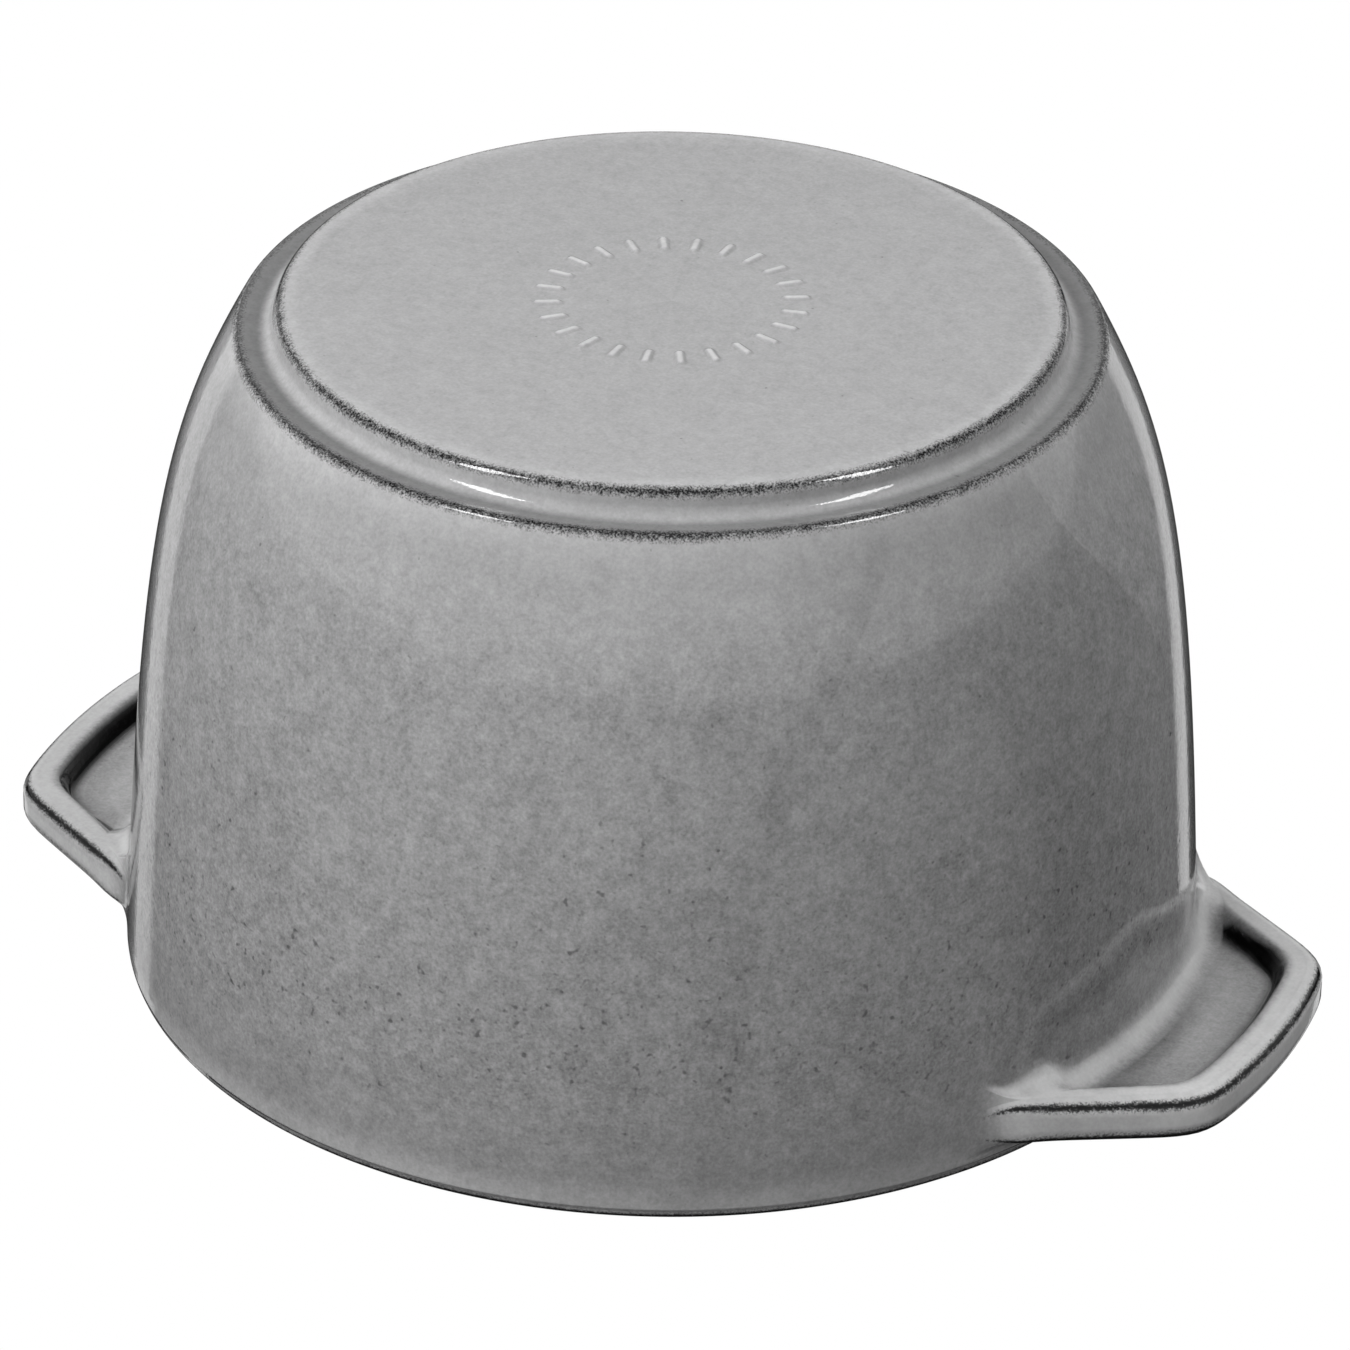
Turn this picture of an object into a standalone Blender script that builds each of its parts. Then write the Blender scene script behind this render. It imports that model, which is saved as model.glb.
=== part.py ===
"""Rice cocotte: an enamelled cast-iron pot with two cast lug handles, and a domed
lid that seats inside the rim and carries a turned knob on a screw and a washer.

Metres, +Z up. The origin is at the middle of the foot, and the handles lie along X.
"""

import math

import bmesh
import bpy
from mathutils import Vector

# Pot: foot and wall
POT_HEIGHT = 0.1115
FOOT_RADIUS = 0.0600
FOOT_STEP = 0.0048
FOOT_DRAFT = 0.0006
FOOT_EDGE_ROUND = 0.0018
FOOT_COVE_ROUND = 0.0022
SHOULDER_RADIUS = 0.0661
SHOULDER_HEIGHT = 0.0042
SHOULDER_ROUND = 0.0012
WALL_FOOT_LEAN = math.radians(27.3)
WALL_RIM_LEAN = math.radians(2.5)
WALL_FOOT_PULL = 0.0213
WALL_RIM_PULL = 0.0704
WALL_THICKNESS = 0.0043
FLOOR_THICKNESS = 0.0052
INNER_CORNER_HEIGHT = 0.0260
INNER_CORNER_WIDTH = 0.0290

# Pot: rim and lid seat
RIM_RADIUS = 0.0840
RIM_BAND = 0.0040
RIM_EDGE_ROUND = 0.0021
LIP_THICKNESS = 0.0030
LIP_EDGE_ROUND = 0.0006
SEAT_DEPTH = 0.0044
SEAT_WIDTH = 0.0030
SEAT_TAPER = 0.0110

# Handles
HANDLE_REACH = 0.1058
HANDLE_DROP = 0.0044
HANDLE_THICKNESS = 0.0073
HANDLE_TIP_WIDTH = 0.0476
HANDLE_ROOT_WIDTH = 0.0830
HANDLE_CORNER_ROUND = 0.0100
HANDLE_ROOT_ROUND = 0.0100
HANDLE_EDGE_ROUND = 0.0024
HANDLE_BORDER = 0.0064
RECESS_DEPTH = 0.0034
RECESS_EDGE_ROUND = 0.0010
RECESS_COVE = 0.0038
FLARE_SINK = 0.0006

# Lid
LID_CLEARANCE = 0.0006
LID_FLANGE_THICKNESS = 0.0038
LID_FLANGE_WIDTH = 0.0080
LID_EDGE_ROUND = 0.0009
LID_SKIRT_DEPTH = 0.0042
LID_SKIRT_WIDTH = 0.0034
LID_SHOULDER_RISE = 0.0052
LID_SHOULDER_ROUND = 0.0026
LID_CROWN_RISE = 0.0150
LID_THICKNESS = 0.0044
BUMP_RINGS = 3
BUMPS_PER_RING = 6
BUMP_RING_STEP = 0.0175
BUMP_RADIUS = 0.0028
BUMP_HEIGHT = 0.0022

# Knob, screw and washer
KNOB_HEIGHT = 0.0275
KNOB_RADIUS = 0.0165
KNOB_HEAD_HEIGHT = 0.0150
KNOB_CROWN = 0.0035
KNOB_NECK_RADIUS = 0.0080
KNOB_FOOT_RADIUS = 0.0108
KNOB_FOOT_HEIGHT = 0.0026
KNOB_EDGE_ROUND = 0.0028
SCREW_RADIUS = 0.0025
SCREW_GRIP = 0.0120
SCREW_HEAD_RADIUS = 0.0050
SCREW_HEAD_HEIGHT = 0.0030
SCREW_SLOT_WIDTH = 0.0012
SCREW_SLOT_DEPTH = 0.0012
WASHER_RADIUS = 0.0070
WASHER_THICKNESS = 0.0012
BORE_CLEARANCE = 0.0003

# Gap between pieces that rest on each other
SEAT_GAP = 0.0003

# Facets
POT_STEPS = 56
KNOB_STEPS = 36
SCREW_STEPS = 24
ROUND_STEPS = 3

# Places that several pieces share
SEAT_Z = POT_HEIGHT - SEAT_DEPTH
LIP_RADIUS = RIM_RADIUS - LIP_THICKNESS
MOUTH_RADIUS = LIP_RADIUS - SEAT_WIDTH
LID_BASE_Z = SEAT_Z + SEAT_GAP
BORE_RADIUS = SCREW_RADIUS + BORE_CLEARANCE


def arc(centre, radius, start, end, steps):
    """Points of an arc in a plane, from one angle to another."""
    points = []
    for index in range(steps + 1):
        angle = start + (end - start) * index / steps
        points.append(centre + radius * Vector((math.cos(angle), math.sin(angle))))
    return points


def bezier(start, start_pull, end_pull, end, steps):
    """Points of a cubic curve between two ends and their two pulls."""
    points = []
    for index in range(steps + 1):
        t = index / steps
        s = 1.0 - t
        points.append(s**3 * start + 3 * s * s * t * start_pull + 3 * s * t * t * end_pull + t**3 * end)
    return points


def rounded(corners):
    """Outline through (radius, height, round) corners, each turned by its own arc."""
    points = []
    for index, (radius, height, turn) in enumerate(corners):
        corner = Vector((radius, height))
        if turn == 0.0 or index in (0, len(corners) - 1):
            points.append(corner)
            continue
        before = (Vector(corners[index - 1][:2]) - corner).normalized()
        after = (Vector(corners[index + 1][:2]) - corner).normalized()
        half = before.angle(after) / 2.0
        middle = corner + (before + after).normalized() * turn / math.sin(half)
        first = corner + before * turn / math.tan(half) - middle
        sweep = first.angle_signed(corner + after * turn / math.tan(half) - middle)
        start = math.atan2(first.y, first.x)
        points += arc(middle, turn, start, start - sweep, ROUND_STEPS)
    return points


def new_object(name, mesh_builder, parent=None):
    """Object made from a bmesh, with its faces pointing out."""
    bmesh.ops.recalc_face_normals(mesh_builder, faces=mesh_builder.faces)
    mesh = bpy.data.meshes.new(name)
    mesh_builder.to_mesh(mesh)
    mesh_builder.free()
    mesh.shade_smooth()
    mesh.set_sharp_from_angle(angle=math.radians(35.0))
    item = bpy.data.objects.new(name, mesh)
    item.parent = parent
    bpy.context.scene.collection.objects.link(item)
    return item


def revolve(name, outline, steps, closed=False, parent=None):
    """Solid turned about Z from an outline of radii and heights."""
    builder = bmesh.new()
    verts = [builder.verts.new((point.x, 0.0, point.y)) for point in outline]
    edges = [builder.edges.new(pair) for pair in zip(verts, verts[1:])]
    if closed:
        edges.append(builder.edges.new((verts[-1], verts[0])))
    bmesh.ops.spin(
        builder,
        geom=verts + edges,
        cent=(0.0, 0.0, 0.0),
        axis=(0.0, 0.0, 1.0),
        angle=math.tau,
        steps=steps,
        use_merge=True,
    )
    bmesh.ops.remove_doubles(builder, verts=builder.verts, dist=1e-6)
    return new_object(name, builder, parent)


def loft(name, loops, parent=None):
    """Closed solid through loops of equal length, with a face on the first and the last."""
    builder = bmesh.new()
    rings = [[builder.verts.new(point) for point in loop] for loop in loops]
    for lower, upper in zip(rings, rings[1:]):
        count = len(lower)
        for index in range(count):
            following = (index + 1) % count
            builder.faces.new((lower[index], lower[following], upper[following], upper[index]))
    builder.faces.new(rings[0])
    builder.faces.new(rings[-1])
    return new_object(name, builder, parent)


def combine(item, tool, operation):
    """Boolean of one object with another, which stays as a hidden guide."""
    tool.hide_render = True
    tool.display_type = "WIRE"
    modifier = item.modifiers.new(tool.name, "BOOLEAN")
    modifier.operation = operation
    modifier.solver = "EXACT"
    modifier.object = tool


def paint(item, name, colour, roughness, metallic):
    """Gives an object its own Principled material."""
    material = bpy.data.materials.new(name)
    material.use_nodes = True
    shader = material.node_tree.nodes["Principled BSDF"]
    shader.inputs["Base Color"].default_value = (*colour, 1.0)
    shader.inputs["Roughness"].default_value = roughness
    shader.inputs["Metallic"].default_value = metallic
    item.data.materials.append(material)


def lean(angle):
    """Unit direction up a wall that leans outward by an angle."""
    return Vector((math.sin(angle), math.cos(angle)))


def wall_outside():
    """Outer wall from the shoulder over the foot up to the band under the rim."""
    start = Vector((SHOULDER_RADIUS, SHOULDER_HEIGHT)) + lean(WALL_FOOT_LEAN) * SHOULDER_ROUND
    end = Vector((RIM_RADIUS, POT_HEIGHT - RIM_BAND))
    start_pull = start + lean(WALL_FOOT_LEAN) * WALL_FOOT_PULL
    end_pull = end - lean(WALL_RIM_LEAN) * WALL_RIM_PULL
    return bezier(start, start_pull, end_pull, end, 12)


def wall_inside(outside):
    """Inner wall, from the seat's taper down to the middle of the floor."""
    offset = []
    for before, point, after in zip(outside, outside[1:], outside[2:]):
        along = (after - before).normalized()
        offset.append(point + Vector((-along.y, along.x)) * WALL_THICKNESS)
    lowest = FLOOR_THICKNESS + INNER_CORNER_HEIGHT
    highest = SEAT_Z - SEAT_TAPER
    straight = [point for point in offset if lowest <= point.y <= highest]
    corner_end = straight[0]
    corner_lean = (straight[1] - straight[0]).normalized()
    floor_edge = Vector((corner_end.x - INNER_CORNER_WIDTH, FLOOR_THICKNESS))
    corner = bezier(
        floor_edge,
        floor_edge + Vector((INNER_CORNER_WIDTH * 0.55, 0.0)),
        corner_end - corner_lean * INNER_CORNER_HEIGHT * 0.55,
        corner_end,
        6,
    )
    rising = [Vector((0.0, FLOOR_THICKNESS))] + corner + straight[1:]
    return rising[::-1]


def make_pot():
    """Turned pot with the two lugs joined to its wall."""
    outside = wall_outside()
    wall_start = Vector((SHOULDER_RADIUS, SHOULDER_HEIGHT)) + lean(WALL_FOOT_LEAN) * SHOULDER_ROUND * 3.0
    foot = rounded([
        (0.0, 0.0, 0.0),
        (FOOT_RADIUS, 0.0, FOOT_EDGE_ROUND),
        (FOOT_RADIUS + FOOT_DRAFT, FOOT_STEP, FOOT_COVE_ROUND),
        (SHOULDER_RADIUS, SHOULDER_HEIGHT, SHOULDER_ROUND),
        (wall_start.x, wall_start.y, 0.0),
    ])[:-1]
    inside = wall_inside(outside)
    rim = rounded([
        (RIM_RADIUS, POT_HEIGHT - RIM_BAND, 0.0),
        (RIM_RADIUS, POT_HEIGHT, RIM_EDGE_ROUND),
        (LIP_RADIUS, POT_HEIGHT, LIP_EDGE_ROUND),
        (LIP_RADIUS, SEAT_Z, 0.0),
        (MOUTH_RADIUS, SEAT_Z, LIP_EDGE_ROUND),
        (inside[0].x, inside[0].y, 0.0),
    ])
    pot = revolve("pot", foot + outside[1:-1] + rim + inside[1:], POT_STEPS)
    for side, turn in (("right", 0.0), ("left", math.pi)):
        lug = make_lug("lug_" + side)
        lug.rotation_euler.z = turn
        combine(pot, lug, "UNION")
    paint(pot, "grey_enamel", (0.205, 0.205, 0.208), 0.28, 0.0)
    return pot


def spaced(path, root_radius, count):
    """Even points along a path, as far as the circle of the root radius."""
    kept = [path[0]]
    for before, after in zip(path, path[1:]):
        if after.length < root_radius:
            share = (before.length - root_radius) / (before.length - after.length)
            kept.append(before.lerp(after, share))
            break
        kept.append(after)
    lengths = [(after - before).length for before, after in zip(kept, kept[1:])]
    points = []
    for index in range(1, count + 1):
        left = sum(lengths) * index / count
        place = 0
        while place < len(lengths) - 1 and left > lengths[place]:
            left -= lengths[place]
            place += 1
        points.append(kept[place].lerp(kept[place + 1], min(1.0, left / lengths[place])))
    return points


def lug_outline(inset, root_radius):
    """Plan of a lug drawn in by an inset: arc at the tip, round corners, straight sides, flared roots.

    The outline closes along an arc of the root radius about the pot's axis.
    """
    axis = Vector((0.0, 0.0))
    tip = Vector((math.sqrt(HANDLE_REACH**2 - (HANDLE_TIP_WIDTH / 2)**2), HANDLE_TIP_WIDTH / 2))
    root = Vector((math.sqrt(RIM_RADIUS**2 - (HANDLE_ROOT_WIDTH / 2)**2), HANDLE_ROOT_WIDTH / 2))
    along = (root - tip).normalized()
    normal = Vector((along.y, -along.x))
    normal_angle = math.atan2(normal.y, normal.x)
    side = normal.dot(tip) - inset
    reach = HANDLE_REACH - inset

    corner_round = max(HANDLE_CORNER_ROUND - inset, RECESS_EDGE_ROUND)
    corner_angle = normal_angle - math.acos((side - corner_round) / (reach - corner_round))
    corner = Vector((math.cos(corner_angle), math.sin(corner_angle))) * (reach - corner_round)

    flare_round = HANDLE_ROOT_ROUND + inset
    flare_reach = RIM_RADIUS - FLARE_SINK + HANDLE_ROOT_ROUND
    flare_angle = normal_angle - math.acos((side + flare_round) / flare_reach)
    flare = Vector((math.cos(flare_angle), math.sin(flare_angle))) * flare_reach

    half = arc(axis, reach, 0.0, corner_angle, 4)
    half += arc(corner, corner_round, corner_angle, normal_angle, 4)[1:]
    root_path = arc(flare, flare_round, normal_angle + math.pi, flare_angle + math.pi, 6)
    half += spaced(half[-1:] + root_path, root_radius, 6)
    end_angle = math.atan2(half[-1].y, half[-1].x)
    closing = arc(axis, root_radius, end_angle, -end_angle, 12)[1:-1]
    mirrored = [Vector((point.x, -point.y)) for point in half[:0:-1]]
    return half + closing + mirrored


def make_lug(name):
    """Lug of a handle: a round-edged slab whose underside is sunk inside a border."""
    top = POT_HEIGHT - HANDLE_DROP
    bottom = top - HANDLE_THICKNESS
    in_wall = (RIM_RADIUS + LIP_RADIUS) / 2
    sections = []
    for point in arc(Vector((HANDLE_EDGE_ROUND, top - HANDLE_EDGE_ROUND)), HANDLE_EDGE_ROUND,
                     math.pi / 2, math.pi, ROUND_STEPS):
        sections.append((point.x, point.y, in_wall))
    for point in arc(Vector((HANDLE_EDGE_ROUND, bottom + HANDLE_EDGE_ROUND)), HANDLE_EDGE_ROUND,
                     math.pi, math.pi * 1.5, ROUND_STEPS):
        sections.append((point.x, point.y, in_wall))
    edge = HANDLE_BORDER - RECESS_EDGE_ROUND
    for point in arc(Vector((edge, bottom + RECESS_EDGE_ROUND)), RECESS_EDGE_ROUND,
                     -math.pi / 2, 0.0, 2):
        sections.append((point.x, point.y, RIM_RADIUS + (point.y - bottom) * 0.3))
    floor = bottom + RECESS_DEPTH
    sections.append((HANDLE_BORDER + RECESS_EDGE_ROUND, floor, RIM_RADIUS + RECESS_COVE))
    loops = []
    for inset, height, root_radius in sections:
        loops.append([(point.x, point.y, height) for point in lug_outline(inset, root_radius)])
    return loft(name, loops)


def lid_crown(radius, height):
    """Height on the lid's crown at a radius, measured from the lid's base."""
    edge = LIP_RADIUS - LID_CLEARANCE - LID_FLANGE_WIDTH - LID_SHOULDER_ROUND
    shoulder = LID_FLANGE_THICKNESS + LID_SHOULDER_RISE
    share = max(0.0, radius - KNOB_FOOT_RADIUS) / (edge - KNOB_FOOT_RADIUS)
    return height - (height - shoulder) * share * share


def make_lid(parent):
    """Turned lid with a flange in the seat, a skirt in the mouth and bumps underneath."""
    outer = LIP_RADIUS - LID_CLEARANCE
    shoulder_radius = outer - LID_FLANGE_WIDTH
    crown_edge = shoulder_radius - LID_SHOULDER_ROUND
    crown_top = POT_HEIGHT + LID_CROWN_RISE - LID_BASE_Z
    skirt_outer = MOUTH_RADIUS - LID_CLEARANCE
    skirt_inner = skirt_outer - LID_SKIRT_WIDTH
    rings = 5
    radii = [KNOB_FOOT_RADIUS + (crown_edge - KNOB_FOOT_RADIUS) * i / rings for i in range(rings + 1)]
    top = [(BORE_RADIUS, crown_top, 0.0)]
    top += [(radius, lid_crown(radius, crown_top), 0.0) for radius in radii[:-1]]
    shoulder_z = lid_crown(crown_edge, crown_top)
    edge = [
        (shoulder_radius - LID_SHOULDER_ROUND * 0.4, shoulder_z - LID_SHOULDER_RISE * 0.12, LID_SHOULDER_ROUND),
        (shoulder_radius + LID_SHOULDER_RISE * 0.2, LID_FLANGE_THICKNESS, LID_SHOULDER_ROUND * 0.5),
        (outer, LID_FLANGE_THICKNESS, LID_EDGE_ROUND),
        (outer, 0.0, LID_EDGE_ROUND),
        (skirt_outer, 0.0, 0.0),
        (skirt_outer, -LID_SKIRT_DEPTH, LID_EDGE_ROUND),
        (skirt_inner, -LID_SKIRT_DEPTH, LID_EDGE_ROUND),
    ]
    under_edge = skirt_inner - LID_SHOULDER_ROUND
    under_radii = [KNOB_FOOT_RADIUS + (under_edge - KNOB_FOOT_RADIUS) * i / rings for i in range(rings + 1)]
    under = [(radius, lid_crown(radius, crown_top) - LID_THICKNESS, 0.0) for radius in under_radii[::-1]]
    under.append((BORE_RADIUS, crown_top - LID_THICKNESS, 0.0))
    outline = rounded(top + edge + under)
    lid = revolve("lid", outline, POT_STEPS, closed=True, parent=parent)

    builder = bmesh.new()
    for ring in range(1, BUMP_RINGS + 1):
        radius = BUMP_RING_STEP * ring
        count = BUMPS_PER_RING * ring
        height = lid_crown(radius, crown_top) - LID_THICKNESS
        for index in range(count):
            angle = math.tau * (index + 0.5) / count
            made = bmesh.ops.create_cone(
                builder,
                cap_ends=True,
                segments=6,
                radius1=BUMP_RADIUS * 0.45,
                radius2=BUMP_RADIUS,
                depth=BUMP_HEIGHT + LID_THICKNESS / 2,
            )
            centre = (
                radius * math.cos(angle),
                radius * math.sin(angle),
                height + LID_THICKNESS / 4 - BUMP_HEIGHT / 2,
            )
            bmesh.ops.translate(builder, verts=made["verts"], vec=centre)
    bumps = new_object("lid_bumps", builder, parent)
    combine(lid, bumps, "UNION")
    paint(lid, "grey_enamel_lid", (0.205, 0.205, 0.208), 0.28, 0.0)
    return lid


def make_knob(parent):
    """Turned knob with a blind bore for the screw."""
    base = POT_HEIGHT + LID_CROWN_RISE - LID_BASE_Z + SEAT_GAP
    top = base + KNOB_HEIGHT
    head = top - KNOB_HEAD_HEIGHT
    bore_end = base + SCREW_GRIP
    crown = [(KNOB_RADIUS * share, top - KNOB_CROWN * share**2, 0.0) for share in (0.0, 0.25, 0.5, 0.75)]
    outline = rounded([
        *crown,
        (KNOB_RADIUS, top - KNOB_CROWN, KNOB_EDGE_ROUND),
        (KNOB_RADIUS * 0.94, head, KNOB_EDGE_ROUND),
        (KNOB_NECK_RADIUS, head - KNOB_EDGE_ROUND * 0.6, KNOB_EDGE_ROUND * 0.7),
        (KNOB_NECK_RADIUS, base + KNOB_FOOT_HEIGHT, KNOB_EDGE_ROUND * 0.5),
        (KNOB_FOOT_RADIUS, base + KNOB_FOOT_HEIGHT, KNOB_FOOT_HEIGHT * 0.4),
        (KNOB_FOOT_RADIUS, base, 0.0),
        (BORE_RADIUS, base, 0.0),
        (BORE_RADIUS, bore_end, 0.0),
        (0.0, bore_end + BORE_RADIUS * 0.5, 0.0),
    ])
    knob = revolve("knob", outline, KNOB_STEPS, parent=parent)
    paint(knob, "polished_steel", (0.62, 0.61, 0.59), 0.22, 1.0)
    return knob


def make_washer(parent):
    """Washer between the lid's underside and the screw's head."""
    top = POT_HEIGHT + LID_CROWN_RISE - LID_BASE_Z - LID_THICKNESS - SEAT_GAP
    bottom = top - WASHER_THICKNESS
    outline = rounded([
        (BORE_RADIUS, top, 0.0),
        (WASHER_RADIUS, top, 0.0),
        (WASHER_RADIUS, bottom, 0.0),
        (BORE_RADIUS, bottom, 0.0),
    ])
    washer = revolve("knob_washer", outline, SCREW_STEPS, closed=True, parent=parent)
    paint(washer, "washer_steel", (0.45, 0.45, 0.44), 0.38, 1.0)
    return washer


def make_screw(parent):
    """Slotted screw from under the lid, through the washer and the lid into the knob."""
    crown = POT_HEIGHT + LID_CROWN_RISE - LID_BASE_Z
    head_top = crown - LID_THICKNESS - SEAT_GAP * 2 - WASHER_THICKNESS
    head_bottom = head_top - SCREW_HEAD_HEIGHT
    end = crown + SEAT_GAP + SCREW_GRIP - SEAT_GAP
    outline = rounded([
        (0.0, end, 0.0),
        (SCREW_RADIUS * 0.75, end, 0.0),
        (SCREW_RADIUS, end - SCREW_RADIUS * 0.3, 0.0),
        (SCREW_RADIUS, head_top, 0.0),
        (SCREW_HEAD_RADIUS, head_top, 0.0),
        (SCREW_HEAD_RADIUS, head_bottom, SCREW_HEAD_HEIGHT * 0.45),
        (0.0, head_bottom, 0.0),
    ])
    screw = revolve("knob_screw", outline, SCREW_STEPS, parent=parent)
    builder = bmesh.new()
    bmesh.ops.create_cube(builder, size=1.0)
    size = (SCREW_HEAD_RADIUS * 2.4, SCREW_SLOT_WIDTH, SCREW_SLOT_DEPTH * 2.0)
    bmesh.ops.scale(builder, verts=builder.verts, vec=size)
    bmesh.ops.translate(builder, verts=builder.verts, vec=(0.0, 0.0, head_bottom))
    slot = new_object("screw_slot", builder, parent)
    combine(screw, slot, "DIFFERENCE")
    paint(screw, "screw_steel", (0.45, 0.45, 0.44), 0.35, 1.0)
    return screw


def main():
    for item in list(bpy.data.objects):
        bpy.data.objects.remove(item, do_unlink=True)
    make_pot()
    lid_axis = bpy.data.objects.new("lid_axis", None)
    lid_axis.location = (0.0, 0.0, LID_BASE_Z)
    bpy.context.scene.collection.objects.link(lid_axis)
    make_lid(lid_axis)
    make_knob(lid_axis)
    make_washer(lid_axis)
    make_screw(lid_axis)
    bpy.context.view_layer.update()


main()
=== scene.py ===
"""Looks of the rice cocotte: an enamelled cast-iron pot with two lugs, its lid, and the lid's turned knob.

Laid out as an add-on. Run as a script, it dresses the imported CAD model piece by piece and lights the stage.
"""

import math

import bmesh
import bpy
import numpy as np
from bpy.props import FloatProperty, FloatVectorProperty, IntProperty, PointerProperty
from mathutils import Matrix, Vector


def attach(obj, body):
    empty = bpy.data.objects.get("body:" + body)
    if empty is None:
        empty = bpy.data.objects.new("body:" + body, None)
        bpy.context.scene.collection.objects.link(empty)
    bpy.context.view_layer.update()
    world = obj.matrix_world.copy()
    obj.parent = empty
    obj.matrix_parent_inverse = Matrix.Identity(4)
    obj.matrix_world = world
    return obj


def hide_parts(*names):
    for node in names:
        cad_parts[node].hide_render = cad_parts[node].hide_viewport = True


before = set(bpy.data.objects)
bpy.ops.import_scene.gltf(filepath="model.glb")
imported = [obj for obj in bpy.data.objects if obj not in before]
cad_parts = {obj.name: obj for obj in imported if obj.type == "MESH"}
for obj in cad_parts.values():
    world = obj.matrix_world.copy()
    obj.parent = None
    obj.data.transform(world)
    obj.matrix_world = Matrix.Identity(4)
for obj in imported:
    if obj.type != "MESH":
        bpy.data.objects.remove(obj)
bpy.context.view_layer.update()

bl_info = {
    "name": "Rice Cocotte",
    "version": (1, 0, 0),
    "blender": (4, 5, 0),
    "location": "View3D > Sidebar > Cocotte",
    "description": "Builds an enamelled cast-iron rice pot with its lid and knob, and a studio stage for it",
    "category": "Add Mesh",
}

ON_AXIS = 1e-7
WALL_ROWS = 60
WEAR_SHARE = 0.80
FACE_EASE_WIDTH = 0.0095
LUG_ROWS_FROM = 0.0930
FASTENER_STEPS = 72
FLOOR_DROP = 0.0008


def length(name, description, metres):
    """Length property, in metres."""
    return FloatProperty(name=name, description=description, default=metres, precision=5, unit="LENGTH")


def angle(name, description, degrees):
    """Angle property, given in degrees."""
    return FloatProperty(name=name, description=description, default=math.radians(degrees), subtype="ANGLE")


def count(name, description, number):
    """Whole number property."""
    return IntProperty(name=name, description=description, default=number, min=1)


def amount(name, description, value):
    """Plain number property."""
    return FloatProperty(name=name, description=description, default=value, min=0.0)


def colour(name, description, *levels):
    """Linear colour property."""
    return FloatVectorProperty(
        name=name, description=description, default=levels, subtype="COLOR", min=0.0, max=1.0
    )


class CocottePotSizes(bpy.types.PropertyGroup):
    """Sizes of the pot's casting"""

    height: length("Height", "From the foot's face to the top of the rim", 0.1115)
    foot_radius: length("Foot radius", "Edge of the face that the pot stands on", 0.0600)
    foot_step: length("Foot step", "How far the foot stands out from the shoulder", 0.0048)
    foot_draft: length("Foot draft", "How much the foot's side spreads", 0.0006)
    foot_edge_round: length("Foot edge", "Round of the foot's edge", 0.0018)
    foot_cove_round: length("Foot cove", "Hollow round between foot and shoulder", 0.0022)
    foot_ease: length("Foot ease", "How far the face falls away at its edge", 0.00022)
    shoulder_radius: length("Shoulder radius", "Crest between foot and wall", 0.0661)
    shoulder_height: length("Shoulder height", "Height of that crest", 0.0042)
    shoulder_round: length("Shoulder round", "Round of that crest", 0.0014)
    wall_foot_lean: angle("Lean at foot", "Outward lean where the wall starts", 27.3)
    wall_rim_lean: angle("Lean at rim", "Outward lean where the wall ends", 2.5)
    wall_foot_pull: length("Pull at foot", "How long the wall keeps its first lean", 0.0213)
    wall_rim_pull: length("Pull at rim", "How long the wall keeps its last lean", 0.0704)
    wall_thickness: length("Wall thickness", "Thickness of the wall", 0.0043)
    floor_thickness: length("Floor thickness", "Thickness of the floor", 0.0052)
    inner_corner_height: length("Inner corner height", "Rise of the round on the floor", 0.0260)
    inner_corner_width: length("Inner corner width", "Width of the round on the floor", 0.0290)
    rim_radius: length("Rim radius", "Outer radius at the rim", 0.0840)
    rim_band: length("Rim band", "Upright band under the rim", 0.0040)
    rim_edge_round: length("Rim edge", "Round of the rim's outer edge", 0.0021)
    lip_thickness: length("Lip thickness", "Width of the rim's top", 0.0030)
    lip_edge_round: length("Lip edge", "Round of the rim's inner edges", 0.0006)
    seat_depth: length("Seat depth", "From the rim down to the lid's seat", 0.0044)
    seat_width: length("Seat width", "Width of the lid's seat", 0.0030)
    seat_taper: length("Seat taper", "Height over which the seat runs out", 0.0110)
    handle_reach: length("Lug reach", "From the pot's axis to a lug's tip", 0.1058)
    handle_drop: length("Lug drop", "From the rim down to a lug's top", 0.0044)
    handle_thickness: length("Lug thickness", "Thickness of a lug", 0.0073)
    handle_tip_width: length("Lug tip width", "Width at the tip, before its round corners", 0.0476)
    handle_root_width: length("Lug root width", "Width at the wall, before its flare", 0.0830)
    handle_corner_round: length("Lug corner", "Round of the corners in plan", 0.0100)
    handle_root_round: length("Lug flare", "Round of the flare into the wall, in plan", 0.0100)
    handle_edge_round: length("Lug edge", "Round of the edges", 0.0024)
    handle_border: length("Lug border", "From the edge to the middle of the slope inside it", 0.0064)
    recess_depth: length("Sunk depth", "How deep the underside is sunk", 0.0034)
    recess_slope: length("Sunk slope", "Width of the slope inside the border", 0.0024)
    recess_cove: length("Lug cove", "Hollow round from the underside to the wall", 0.0042)
    handle_top_cove: length("Lug top cove", "Hollow round from the top to the wall", 0.0018)
    ridge_inner: length("Ridges from", "Inner radius of the ridges under the foot", 0.0168)
    ridge_outer: length("Ridges to", "Outer radius of the ridges under the foot", 0.0210)
    ridge_width: length("Ridge width", "Width of one ridge", 0.0013)
    ridge_height: length("Ridge height", "Height of one ridge", 0.00045)
    ridges: count("Ridges", "Number of ridges in the ring", 24)
    steps: count("Steps", "Columns of faces round the pot", 432)


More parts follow.
